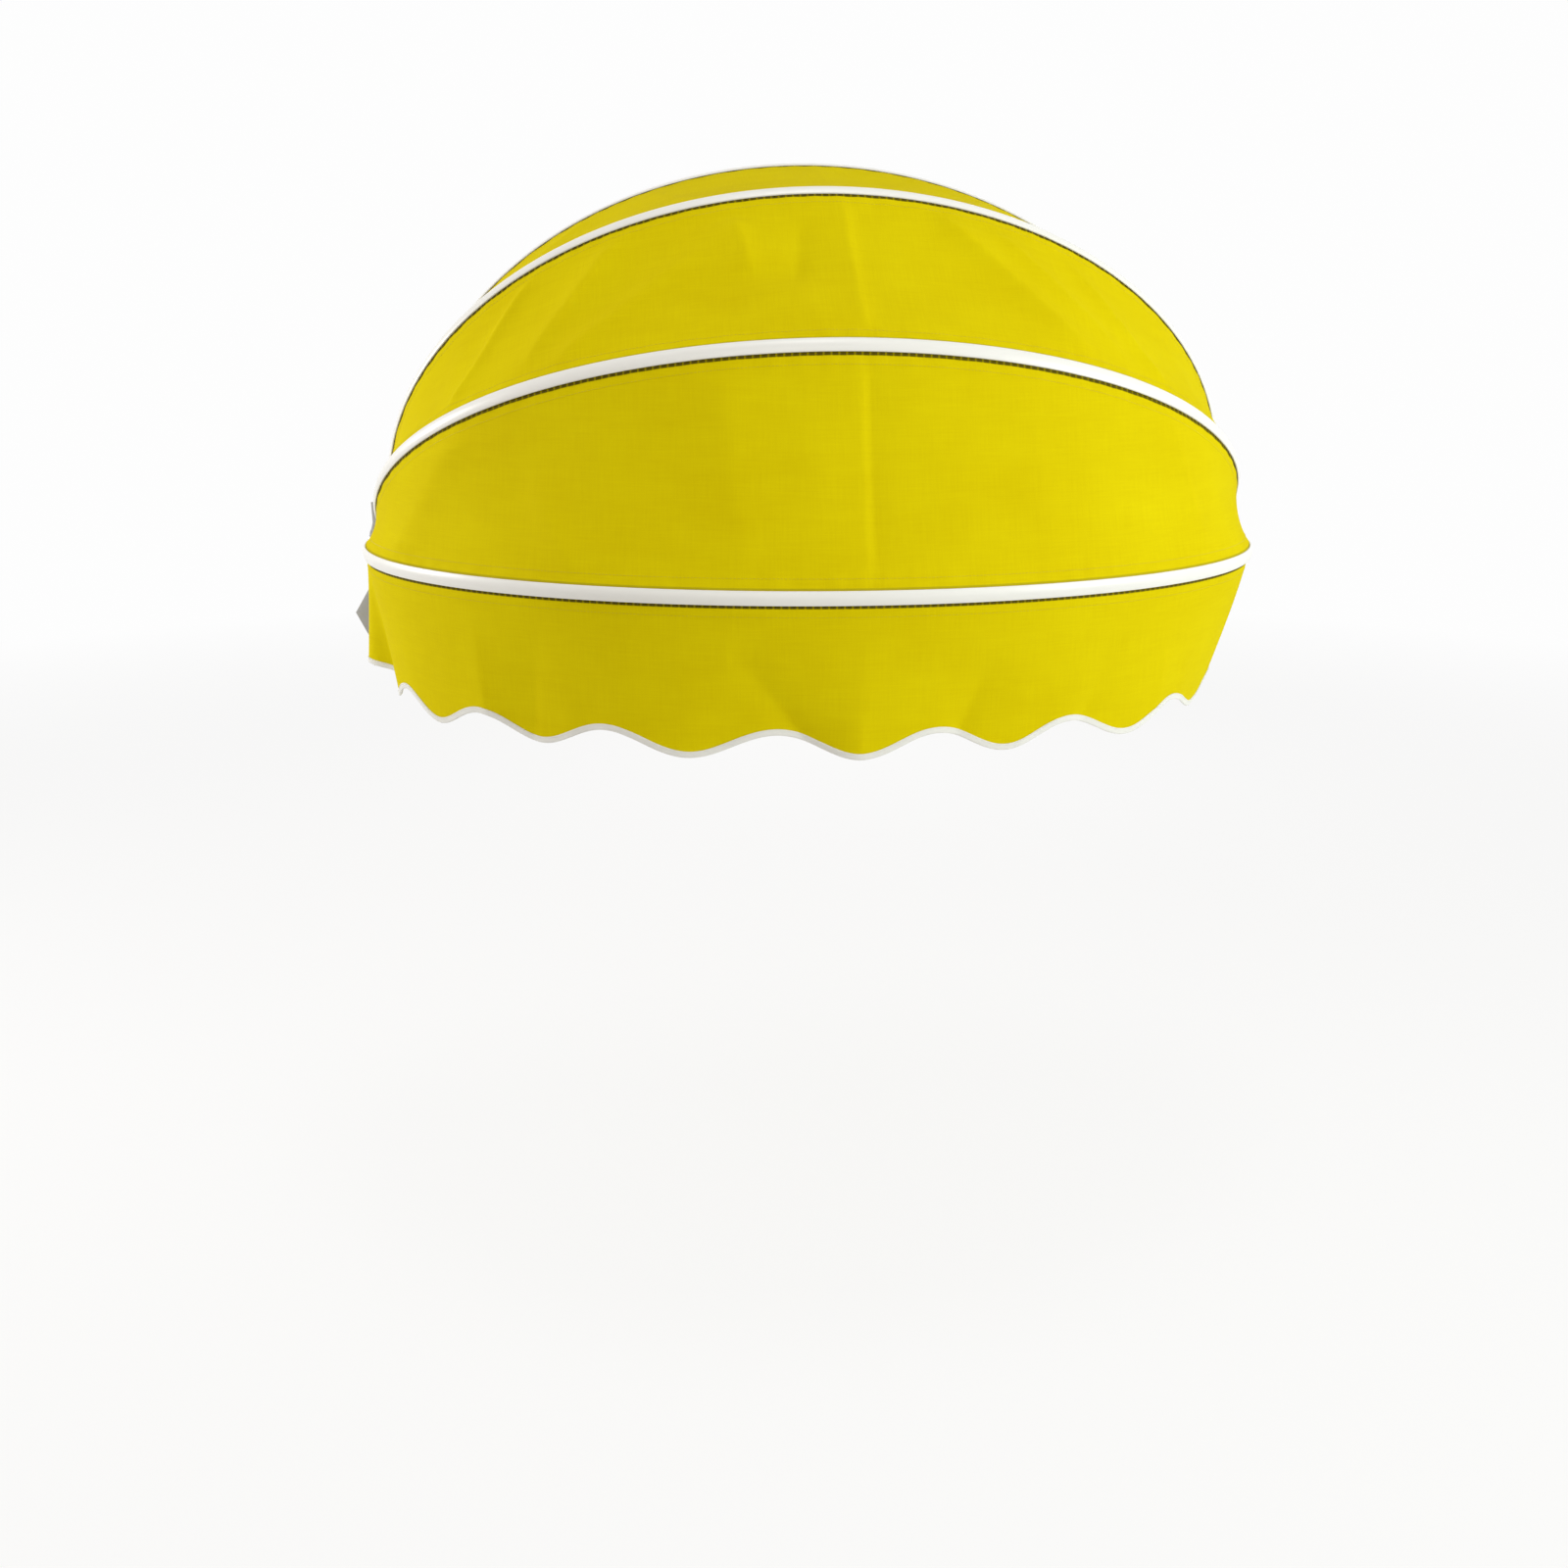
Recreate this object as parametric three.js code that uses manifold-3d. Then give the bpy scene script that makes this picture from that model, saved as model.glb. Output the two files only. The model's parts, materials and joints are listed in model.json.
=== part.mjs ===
// Folding window awning: four nested bows turn on one bolt at each side and carry
// three fabric panels and a scalloped valance. Millimetres, +Z up.
// The wall is the plane Y = 0 and the canopy stands out towards -Y.
// The origin is the centre of the top wall clip's back face.
import * as THREE from "three";
import { mergeVertices } from "three/addons/utils/BufferGeometryUtils.js";
import Module from "manifold-3d";

const wasm = await Module();
wasm.setup();

// Canopy
const FRONT_HALF_WIDTH = 600; // centre plane to the front bow's leg
const FRONT_REACH = 530; // pivot axis to the front bow's apex
const LEG_LENGTH = 50; // straight leg between the pivot axis and the arch
const BOW_ANGLES = { front: 0, middle: 30, upper: 59, rear: 90 }; // degrees above horizontal
const ARCH_STEPS = 25; // odd, so that the apex is the middle of a flat
const PIVOT_TO_WALL = 16;

// Clearances
const SEAT_GAP = 0.3; // between faces that seat on each other
const NEST_GAP = 1; // between bows that fold into each other

// Bow section: across is parallel to the pivot's swing, height is outward from the fabric surface
const BOW_WIDTH = 16;
const CROWN_HEIGHT = 4.5; // fabric surface to the top of the crown
const CROWN_EDGE_HEIGHT = 2.3;
const TUBE_DEPTH = 9.5; // fabric surface to the tube's inner face
const TUBE_WIDTH = 9.4;
const TUBE_WALL = 1.5;
const CORE_HEIGHT = 4.6;
const GROOVE_OFFSET = 4.6; // middle plane to the centre of a keder groove
const GROOVE_RADIUS = 2.4;
const LIP_WIDTH = 7.4; // middle plane to the edge of the groove's inner lip
const LIP_DEPTH = 2.2;
const TUBE_START = 25; // pivot axis to the cut end of the tube
const GROOVE_SIDES = 4;
const CROWN_SIDES = 4;

// Fabric
const FABRIC_THICKNESS = 1;
const PANEL_END_WIDTH = 6; // cloth between two bows at a panel's side edges
const PANEL_SAG = 5; // how far a panel hangs in between two bows
const PANEL_ROWS = 2;
const VALANCE_START = 30; // pivot axis to the valance's ends
const VALANCE_DEPTH = 180; // front bow's middle plane to the lowest hem points
const SCALLOP_DEPTH = 26;
const SCALLOP_WIDTH = 180;
const VALANCE_ROWS = 2;
const VALANCE_LEAN = 4; // how far the hem hangs in from the front bow
const VALANCE_CURVE = 1.3; // power by which the lean grows from the bow to the hem
const END_TUCKS = { left: 10, right: 110 }; // how much further each end of the hem hangs in
const END_TUCK_LENGTH = 600;
const STEPS_PER_FLAT = 3; // valance steps on each flat of the front bow
const BINDING_THICKNESS = 0.8;
const BINDING_HEIGHT = 7;

// Knuckles, pivot bolts and washers
const ROUND_SIDES = 12; // sides of the pivot's round pieces
const KNUCKLE_THICKNESS = 12;
const KNUCKLE_RADIUS = 11;
const KNUCKLE_SHOULDER = 15; // pivot axis to where the full width starts
const SPIGOT_LENGTH = 28;
const BOLT_RADIUS = 4;
const BOLT_HEAD_RADIUS = 7;
const BOLT_HEAD_HEIGHT = 4.4;
const BOLT_TAIL = 3; // how far the bolt stands out of its nut
const BOLT_CHAMFER = 1;
const NUT_ACROSS_FLATS = 13;
const NUT_HEIGHT = 6;
const NUT_COLLAR_HEIGHT = 2;
const NUT_COLLAR_RADIUS = 5.6;
const WASHER_RADIUS = 8;

// Wall brackets
const EAR_THICKNESS = 4;
const EAR_RADIUS = 14;
const PLATE_THICKNESS = 4;
const PLATE_BEVEL_DEPTH = 2.5;
const PLATE_BEVEL_WIDTH = 7;
const PLATE_TOP = 50; // heights from the pivot axis
const PLATE_SHOULDER = -50;
const PLATE_TIP = -105;
const PLATE_BOTTOM = -160;
const PLATE_TIP_REACH = 34.5; // how far the pointed side stands out beyond the outer ear
const PLATE_FOOT_REACH = 9;
const PLATE_CORNER = 26; // cut off the foot's inner corner
const BRACKET_HOLE_RADIUS = 3;
const BRACKET_HOLES = [34, -42, -120]; // heights from the pivot axis

// Wall clips
const CLIP_LENGTH = 48;
const CLIP_HEIGHT = 30;
const CLIP_THICKNESS = 2.5;
const CLIP_REACH = 23;
const CLIP_BEND = 3;
const CLIP_HOLE_RADIUS = 2.3;
const CLIP_HOLE_SPACING = 32;
const SHOULDER_CLIP_FLAT = 6; // flats between the top clip and each shoulder clip
const SCREW_RADIUS = 1.6;
const SCREW_LENGTH = 7;
const SCREW_HEAD_RADIUS = 3.2;
const SCREW_HEAD_HEIGHT = 2.2;

// Worked out from the sizes above
const BOW_DEPTH = CROWN_HEIGHT + TUBE_DEPTH;
const NEST_STEP = BOW_DEPTH + NEST_GAP;
const BOW_MIDDLE = (CROWN_HEIGHT - TUBE_DEPTH) / 2;
const BOLT_HOLE_RADIUS = BOLT_RADIUS + SEAT_GAP;
const SLIT_HALF = FABRIC_THICKNESS / 2 + SEAT_GAP;
const BEAD_RADIUS = GROOVE_RADIUS - SEAT_GAP;
const WASHER_THICKNESS = NEST_STEP - KNUCKLE_THICKNESS - 2 * SEAT_GAP;
const WASHER_PITCH = WASHER_THICKNESS + 2 * SEAT_GAP;
const CORE_TOP = CORE_HEIGHT + TUBE_WALL - TUBE_DEPTH;

// Finishes
const POWDER_COAT = new THREE.MeshStandardMaterial({ color: 0xf4f4ee, roughness: 0.4, metalness: 0 });
const CANVAS = new THREE.MeshStandardMaterial({ color: 0xdcd012, roughness: 0.85, metalness: 0 });
const TAPE = new THREE.MeshStandardMaterial({ color: 0xf2f2ec, roughness: 0.8, metalness: 0 });
const NYLON = new THREE.MeshStandardMaterial({ color: 0xe9e9e4, roughness: 0.5, metalness: 0 });
const GREY_METAL = new THREE.MeshStandardMaterial({ color: 0x9b9da0, roughness: 0.45, metalness: 0.7 });
const ZINC = new THREE.MeshStandardMaterial({ color: 0xb9bcc0, roughness: 0.35, metalness: 0.9 });

const awning = new THREE.Group();

// Booleans and meshes

function solid(geometry) {
  const bare = geometry.clone();
  bare.deleteAttribute("normal");
  bare.deleteAttribute("uv");
  const merged = mergeVertices(bare, 1e-4);
  const vertProperties = new Float32Array(merged.attributes.position.array);
  const triVerts = new Uint32Array(merged.index.array);
  return new wasm.Manifold(new wasm.Mesh({ numProp: 3, vertProperties, triVerts }));
}

function geometryOf(manifold) {
  const { vertProperties, triVerts } = manifold.getMesh();
  const geometry = new THREE.BufferGeometry();
  geometry.setAttribute("position", new THREE.BufferAttribute(new Float32Array(vertProperties), 3));
  geometry.setIndex(new THREE.BufferAttribute(new Uint32Array(triVerts), 1));
  geometry.computeVertexNormals();
  return geometry;
}

function mirrored(geometry) {
  const copy = geometry.clone().scale(-1, 1, 1);
  const corners = copy.index.array;
  for (let i = 0; i < corners.length; i += 3) {
    [corners[i + 1], corners[i + 2]] = [corners[i + 2], corners[i + 1]];
  }
  return copy;
}

function add(parent, name, geometry, material) {
  const mesh = new THREE.Mesh(geometry, material);
  mesh.name = name;
  parent.add(mesh);
  return mesh;
}

// A closed body through a row of like loops of points, with flat ends
function loft(loops) {
  const size = loops[0].length;
  const points = loops.flat();
  const geometry = new THREE.BufferGeometry().setFromPoints(points);
  const corners = [];
  for (let row = 0; row < loops.length - 1; row += 1) {
    for (let i = 0; i < size; i += 1) {
      const a = row * size + i;
      const b = row * size + ((i + 1) % size);
      corners.push(a, b, a + size, b, b + size, a + size);
    }
  }
  const last = (loops.length - 1) * size;
  for (const [a, b, c] of capTriangles(loops[0])) corners.push(c, b, a);
  for (const [a, b, c] of capTriangles(loops[loops.length - 1])) corners.push(last + a, last + b, last + c);
  geometry.setIndex(corners);
  geometry.computeVertexNormals();
  return geometry;
}

// Triangles over a nearly flat loop, turned so that they run the way the loop runs
function capTriangles(loop) {
  const normal = new THREE.Vector3();
  const centre = loop.reduce((sum, p) => sum.add(p), new THREE.Vector3()).divideScalar(loop.length);
  loop.forEach((p, i) => {
    const next = loop[(i + 1) % loop.length];
    normal.add(p.clone().sub(centre).cross(next.clone().sub(centre)));
  });
  const flat = new THREE.Quaternion().setFromUnitVectors(normal.normalize(), new THREE.Vector3(0, 0, 1));
  const outline = loop.map((p) => {
    const q = p.clone().sub(centre).applyQuaternion(flat);
    return new THREE.Vector2(q.x, q.y);
  });
  return THREE.ShapeUtils.triangulateShape(outline, []);
}

// Bows: each is a straight leg, a half ellipse and a straight leg in a plane through the pivot axis

class Bow {
  constructor(name, place) {
    this.name = name;
    this.angle = THREE.MathUtils.degToRad(BOW_ANGLES[name]);
    this.halfWidth = FRONT_HALF_WIDTH - place * NEST_STEP;
    this.rise = FRONT_REACH - place * NEST_STEP - LEG_LENGTH;
    this.stations = this.makeStations();
    this.distances = this.measure();
  }

  // Corner points of the faceted centreline, each with its outward direction
  makeStations() {
    const stations = [{ x: -this.halfWidth, out: TUBE_START, normal: [-1, 0] }];
    for (let i = 0; i <= ARCH_STEPS; i += 1) {
      const turn = (Math.PI * i) / ARCH_STEPS;
      const x = -this.halfWidth * Math.cos(turn);
      const out = LEG_LENGTH + this.rise * Math.sin(turn);
      const normal = new THREE.Vector2(-this.rise * Math.cos(turn), this.halfWidth * Math.sin(turn));
      stations.push({ x, out, normal: normal.normalize().toArray() });
    }
    stations.push({ x: this.halfWidth, out: TUBE_START, normal: [1, 0] });
    return stations;
  }

  // Length along the centreline at each station, from the pivot axis
  measure() {
    const distances = [TUBE_START];
    this.stations.slice(1).forEach((station, i) => {
      const from = this.stations[i];
      distances.push(distances[i] + Math.hypot(station.x - from.x, station.out - from.out));
    });
    return distances;
  }

  get length() {
    return this.distances[this.distances.length - 1] + TUBE_START;
  }

  // Point of the bow's plane at a place between stations, raised from the fabric surface
  flatPoint(place, height) {
    const i = Math.min(Math.floor(place), this.stations.length - 2);
    const share = place - i;
    const [from, to] = [this.stations[i], this.stations[i + 1]].map(({ x, out, normal }) => [
      x + height * normal[0],
      out + height * normal[1],
    ]);
    return [from[0] + share * (to[0] - from[0]), from[1] + share * (to[1] - from[1])];
  }

  // The same point in the pivot's frame, moved across the bow towards the next bow up
  point(place, across, height) {
    const [x, out] = this.flatPoint(place, height);
    const y = across * Math.sin(this.angle) - out * Math.cos(this.angle);
    const z = across * Math.cos(this.angle) + out * Math.sin(this.angle);
    return new THREE.Vector3(x, y, z);
  }

  // Place on the left half at which the centreline is this far out from the pivot axis
  placeAt(out) {
    const i = this.stations.findIndex((station) => station.out > out) - 1;
    const [from, to] = [this.stations[i], this.stations[i + 1]];
    return i + (out - from.out) / (to.out - from.out);
  }

  // Length along the centreline at any place
  distanceAt(place) {
    const i = Math.min(Math.floor(place), this.stations.length - 2);
    return this.distances[i] + (place - i) * (this.distances[i + 1] - this.distances[i]);
  }
}

// The bow's centreline for an extrusion, with a section at every station
class BowPath extends THREE.Curve {
  constructor(bow) {
    super();
    this.bow = bow;
    this.steps = bow.stations.length - 1;
  }

  getPointAt(share, target = new THREE.Vector3()) {
    const [x, out] = this.bow.flatPoint(share * this.steps, 0);
    return target.set(x, out, 0);
  }

  getPoint(share, target) {
    return this.getPointAt(share, target);
  }

  getTangentAt(share, target = new THREE.Vector3()) {
    const [nx, ny] = this.bow.stations[Math.round(share * this.steps)].normal;
    return target.set(ny, -nx, 0);
  }
}

const bows = Object.fromEntries(Object.keys(BOW_ANGLES).map((name, i) => [name, new Bow(name, i)]));

// Half of the section's outline, from the crown's middle down one side to the tube's inner face
function sectionSide(side, grooved) {
  const points = [];
  for (let i = 0; i <= CROWN_SIDES / 2; i += 1) {
    const share = i / (CROWN_SIDES / 2);
    const across = (share * BOW_WIDTH) / 2;
    points.push([across, CROWN_HEIGHT - (CROWN_HEIGHT - CROWN_EDGE_HEIGHT) * share ** 2]);
  }
  if (grooved) {
    const mouth = Math.asin(SLIT_HALF / GROOVE_RADIUS);
    points.push([BOW_WIDTH / 2, SLIT_HALF]);
    for (let i = 0; i <= GROOVE_SIDES; i += 1) {
      const turn = mouth + ((2 * Math.PI - 2 * mouth) * i) / GROOVE_SIDES;
      points.push([GROOVE_OFFSET + GROOVE_RADIUS * Math.cos(turn), GROOVE_RADIUS * Math.sin(turn)]);
    }
    points.push([LIP_WIDTH, -SLIT_HALF]);
  } else {
    points.push([BOW_WIDTH / 2, 0]);
  }
  points.push([LIP_WIDTH, -LIP_DEPTH]);
  points.push([TUBE_WIDTH / 2, CORE_TOP]);
  points.push([TUBE_WIDTH / 2, -TUBE_DEPTH]);
  return points.map(([across, height]) => new THREE.Vector2(side * across, height));
}

function bowSection(lowerGroove, upperGroove) {
  const lower = sectionSide(-1, lowerGroove);
  const upper = sectionSide(1, upperGroove).slice(1).reverse();
  const section = new THREE.Shape([...upper, ...lower]);
  const coreHalf = TUBE_WIDTH / 2 - TUBE_WALL;
  const coreBottom = CORE_TOP - CORE_HEIGHT;
  const core = [
    new THREE.Vector2(-coreHalf, coreBottom),
    new THREE.Vector2(coreHalf, coreBottom),
    new THREE.Vector2(coreHalf, CORE_TOP),
    new THREE.Vector2(-coreHalf, CORE_TOP),
  ];
  section.holes.push(new THREE.Path(core));
  return section;
}

function bowTube(bow, lowerGroove, upperGroove) {
  const extrudePath = new BowPath(bow);
  const settings = { steps: extrudePath.steps, extrudePath };
  return new THREE.ExtrudeGeometry(bowSection(lowerGroove, upperGroove), settings);
}

// Knuckles: a flat eye on the pivot bolt with a spigot that plugs into the bow's tube

function knuckleGeometry(bow, side) {
  const shoulder = BOW_WIDTH / 2;
  const top = TUBE_START - SEAT_GAP;
  const outline = new THREE.Shape();
  outline.moveTo(shoulder, top);
  outline.lineTo(-shoulder, top);
  outline.lineTo(-shoulder, KNUCKLE_SHOULDER);
  outline.absarc(0, 0, KNUCKLE_RADIUS, Math.PI, 2 * Math.PI, false);
  outline.lineTo(shoulder, KNUCKLE_SHOULDER);
  outline.holes.push(new THREE.Path().absarc(0, 0, BOLT_HOLE_RADIUS, 0, 2 * Math.PI, true));
  const eye = new THREE.ExtrudeGeometry(outline, {
    depth: KNUCKLE_THICKNESS,
    bevelEnabled: false,
    curveSegments: ROUND_SIDES / 2,
  });
  eye.rotateY(Math.PI / 2);
  eye.translate(side * (bow.halfWidth + BOW_MIDDLE) - KNUCKLE_THICKNESS / 2, 0, 0);

  const spigotHeight = CORE_HEIGHT - 2 * SEAT_GAP;
  const spigotWidth = TUBE_WIDTH - 2 * TUBE_WALL - 2 * SEAT_GAP;
  const root = (KNUCKLE_SHOULDER + TUBE_START) / 2;
  const length = TUBE_START + SPIGOT_LENGTH - root;
  const spigot = new THREE.BoxGeometry(spigotHeight, length, spigotWidth);
  const height = CORE_TOP - CORE_HEIGHT / 2;
  spigot.translate(side * (bow.halfWidth + height), root + length / 2, 0);
  return geometryOf(solid(eye).add(solid(spigot)));
}

// Fabric: beads in the bows' grooves with a sheet between them

// Bead round a groove's centre, open towards the sheet on the given side, from the outer face to the inner
function bead(bow, place, side) {
  const mouth = Math.asin(FABRIC_THICKNESS / 2 / BEAD_RADIUS);
  const points = [];
  for (let i = 0; i <= GROOVE_SIDES; i += 1) {
    const turn = mouth + ((2 * Math.PI - 2 * mouth) * i) / GROOVE_SIDES;
    const across = side * (GROOVE_OFFSET + BEAD_RADIUS * Math.cos(turn));
    points.push(bow.point(place, across, BEAD_RADIUS * Math.sin(turn)));
  }
  return points;
}

// Loop of one panel between two bows at a place, outer face first
function panelLoop(lower, upper, place) {
  const half = FABRIC_THICKNESS / 2;
  const leave = BOW_WIDTH / 2 + FABRIC_THICKNESS;
  const from = lower.point(place, leave, 0);
  const to = upper.point(place, -leave, 0);
  const along = to.clone().sub(from).normalize();
  const middlePlace = (lower.stations.length - 1) / 2;
  const step = place < middlePlace ? 0.1 : -0.1;
  const run = lower.point(place + step, leave, 0).sub(from);
  const out = along.clone().cross(run).multiplyScalar(-Math.sign(step)).normalize();
  const outer = [lower.point(place, leave, half)];
  const inner = [lower.point(place, leave, -half)];
  for (let row = 1; row <= PANEL_ROWS; row += 1) {
    const share = row / (PANEL_ROWS + 1);
    const sag = Math.min(PANEL_SAG, from.distanceTo(to) / 10) * 4 * share * (1 - share);
    const middle = from.clone().lerp(to, share).addScaledVector(out, -sag);
    outer.push(middle.clone().addScaledVector(out, half));
    inner.push(middle.clone().addScaledVector(out, -half));
  }
  outer.push(upper.point(place, -leave, half));
  inner.push(upper.point(place, -leave, -half));
  return [...inner, ...bead(upper, place, -1).reverse(), ...outer.reverse(), ...bead(lower, place, 1)];
}

// Place where two bows are just far enough apart for the panel's side edge
function panelStart(lower, upper) {
  const half = (upper.angle - lower.angle) / 2;
  const leave = BOW_WIDTH / 2 + FABRIC_THICKNESS;
  return lower.placeAt((PANEL_END_WIDTH / 2 + leave * Math.cos(half)) / Math.sin(half));
}

function panelGeometry(lower, upper) {
  const start = panelStart(lower, upper);
  const last = lower.stations.length - 1;
  const places = [start];
  for (let i = Math.floor(start) + 1; i < last - start; i += 1) places.push(i);
  places.push(last - start);
  return loft(places.map((place) => panelLoop(lower, upper, place)));
}

// Depth of the hem below the front bow's middle plane at a distance along the bow
function hemDrop(distance) {
  const turn = (2 * Math.PI * (distance - bows.front.length / 2)) / SCALLOP_WIDTH;
  return VALANCE_DEPTH - SCALLOP_DEPTH * (0.5 - 0.5 * Math.cos(turn));
}

// How far the valance hangs in from the bow, more towards the hem and the two ends
function valanceLean(distance, drop) {
  const nearEnd = (toEnd) => Math.max(0, 1 - toEnd / END_TUCK_LENGTH) ** 2;
  const tuck = END_TUCKS.left * nearEnd(distance) + END_TUCKS.right * nearEnd(bows.front.length - distance);
  return -(VALANCE_LEAN + tuck) * (drop / VALANCE_DEPTH) ** VALANCE_CURVE;
}

function valancePoint(place, drop, height) {
  const lean = valanceLean(bows.front.distanceAt(place), drop);
  return bows.front.point(place, -drop, height + lean);
}

// Places along the valance: both ends and even steps on every flat of the bow
function valancePlaces() {
  const start = bows.front.placeAt(VALANCE_START);
  const last = bows.front.stations.length - 1;
  const places = [start];
  for (let i = STEPS_PER_FLAT; i <= (last - 1) * STEPS_PER_FLAT; i += 1) places.push(i / STEPS_PER_FLAT);
  places.push(last - start);
  return places;
}

function valanceLoop(place) {
  const half = FABRIC_THICKNESS / 2;
  const leave = BOW_WIDTH / 2 + FABRIC_THICKNESS;
  const hem = hemDrop(bows.front.distanceAt(place));
  const drops = [hem - BINDING_THICKNESS - SEAT_GAP];
  for (let row = VALANCE_ROWS; row > 0; row -= 1) {
    drops.unshift(leave + ((hem - BINDING_HEIGHT - leave) * row) / VALANCE_ROWS);
  }
  const outer = [bows.front.point(place, -leave, half)];
  const inner = [bows.front.point(place, -leave, -half)];
  for (const drop of drops) {
    outer.push(valancePoint(place, drop, half));
    inner.push(valancePoint(place, drop, -half));
  }
  return [...outer, ...inner.reverse(), ...bead(bows.front, place, -1).reverse()];
}

// Folded tape over the hem: a U section at every place
function bindingLoop(place) {
  const bottom = hemDrop(bows.front.distanceAt(place));
  const inside = FABRIC_THICKNESS / 2 + SEAT_GAP;
  const outside = inside + BINDING_THICKNESS;
  const section = [
    [bottom - BINDING_HEIGHT, outside],
    [bottom, outside],
    [bottom, -outside],
    [bottom - BINDING_HEIGHT, -outside],
    [bottom - BINDING_HEIGHT, -inside],
    [bottom - BINDING_THICKNESS, -inside],
    [bottom - BINDING_THICKNESS, inside],
    [bottom - BINDING_HEIGHT, inside],
  ];
  return section.map(([drop, height]) => valancePoint(place, drop, height));
}

// Fasteners on the pivot axis, made along X with the head on the right

function turned(profile, segments) {
  const points = profile.map(([radius, along]) => new THREE.Vector2(radius, along));
  return new THREE.LatheGeometry(points, segments);
}

function pivotBolt(headFace, tail) {
  const profile = [
    [0, headFace + BOLT_HEAD_HEIGHT],
    [BOLT_HEAD_RADIUS * 0.6, headFace + BOLT_HEAD_HEIGHT * 0.85],
    [BOLT_HEAD_RADIUS, headFace + BOLT_HEAD_HEIGHT * 0.35],
    [BOLT_HEAD_RADIUS, headFace],
    [BOLT_RADIUS, headFace],
    [BOLT_RADIUS, tail + BOLT_CHAMFER],
    [BOLT_RADIUS - BOLT_CHAMFER, tail],
    [0, tail],
  ];
  return turned(profile.reverse(), ROUND_SIDES).rotateZ(-Math.PI / 2);
}

function ring(outerRadius, innerRadius, thickness) {
  const profile = [
    [innerRadius, 0],
    [outerRadius, 0],
    [outerRadius, thickness],
    [innerRadius, thickness],
    [innerRadius, 0],
  ];
  return turned(profile, ROUND_SIDES).rotateZ(-Math.PI / 2);
}

function lockNut(face) {
  const hexagon = new THREE.Shape();
  const corner = NUT_ACROSS_FLATS / 2 / Math.cos(Math.PI / 6);
  for (let i = 0; i < 6; i += 1) {
    const turn = (i * Math.PI) / 3;
    hexagon[i === 0 ? "moveTo" : "lineTo"](corner * Math.cos(turn), corner * Math.sin(turn));
  }
  hexagon.holes.push(new THREE.Path().absarc(0, 0, BOLT_HOLE_RADIUS, 0, 2 * Math.PI, true));
  const body = new THREE.ExtrudeGeometry(hexagon, { depth: NUT_HEIGHT, bevelEnabled: false, curveSegments: ROUND_SIDES / 2 });
  body.rotateY(Math.PI / 2).translate(face - NUT_HEIGHT, 0, 0);
  const collar = ring(NUT_COLLAR_RADIUS, BOLT_HOLE_RADIUS, NUT_COLLAR_HEIGHT + NUT_HEIGHT / 4);
  collar.translate(face - NUT_HEIGHT - NUT_COLLAR_HEIGHT, 0, 0);
  return geometryOf(solid(body).add(solid(collar)));
}

// Wall bracket on the right: two ears on a shield-shaped plate with bevelled edges

function drillAlongY(x, z, radius, depth) {
  return new THREE.CylinderGeometry(radius, radius, depth, ROUND_SIDES).translate(x, -depth / 3, z);
}

function bracketPlate(inner, outer) {
  const outline = new THREE.Shape();
  outline.moveTo(inner, PLATE_TOP);
  outline.lineTo(inner, PLATE_BOTTOM + PLATE_CORNER);
  outline.lineTo(inner + PLATE_CORNER, PLATE_BOTTOM);
  outline.lineTo(outer + PLATE_FOOT_REACH, PLATE_BOTTOM);
  outline.lineTo(outer + PLATE_TIP_REACH, PLATE_TIP);
  outline.lineTo(outer, PLATE_SHOULDER);
  outline.lineTo(outer, PLATE_TOP);
  const plate = new THREE.ExtrudeGeometry(outline, {
    depth: PLATE_THICKNESS - PLATE_BEVEL_DEPTH,
    bevelThickness: PLATE_BEVEL_DEPTH,
    bevelSize: PLATE_BEVEL_WIDTH,
    bevelOffset: -PLATE_BEVEL_WIDTH,
    bevelSegments: 1,
  });
  plate.rotateX(Math.PI / 2);
  const behind = new THREE.BoxGeometry(4 * outer, 2 * PLATE_BEVEL_DEPTH, 4 * outer);
  behind.translate(0, PLATE_BEVEL_DEPTH, 0);
  return solid(plate).subtract(solid(behind));
}

function bracketEar(face) {
  const root = (PLATE_THICKNESS - PLATE_BEVEL_DEPTH) / 2;
  const slope = EAR_RADIUS * 1.6;
  const outline = new THREE.Shape();
  outline.moveTo(root, -slope);
  outline.absarc(PIVOT_TO_WALL, 0, EAR_RADIUS, -Math.PI / 2, Math.PI / 2, false);
  outline.lineTo(root, slope);
  outline.holes.push(new THREE.Path().absarc(PIVOT_TO_WALL, 0, BOLT_HOLE_RADIUS, 0, 2 * Math.PI, true));
  const ear = new THREE.ExtrudeGeometry(outline, { depth: EAR_THICKNESS, bevelEnabled: false, curveSegments: ROUND_SIDES / 2 });
  const upright = new THREE.Matrix4().makeBasis(
    new THREE.Vector3(0, -1, 0),
    new THREE.Vector3(0, 0, 1),
    new THREE.Vector3(-1, 0, 0),
  );
  return solid(ear.applyMatrix4(upright).translate(face + EAR_THICKNESS, 0, 0));
}

function bracketGeometry(innerFace, outerFace) {
  const inner = innerFace - EAR_THICKNESS;
  const outer = outerFace + EAR_THICKNESS;
  const middle = (inner + outer) / 2;
  let bracket = bracketPlate(inner, outer).add(bracketEar(inner)).add(bracketEar(outerFace));
  for (const height of BRACKET_HOLES) {
    bracket = bracket.subtract(solid(drillAlongY(middle, height, BRACKET_HOLE_RADIUS, 3 * PLATE_THICKNESS)));
  }
  return geometryOf(bracket);
}

// Wall clip: an angle with its shelf under the rear bow, centred on its back face

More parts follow.
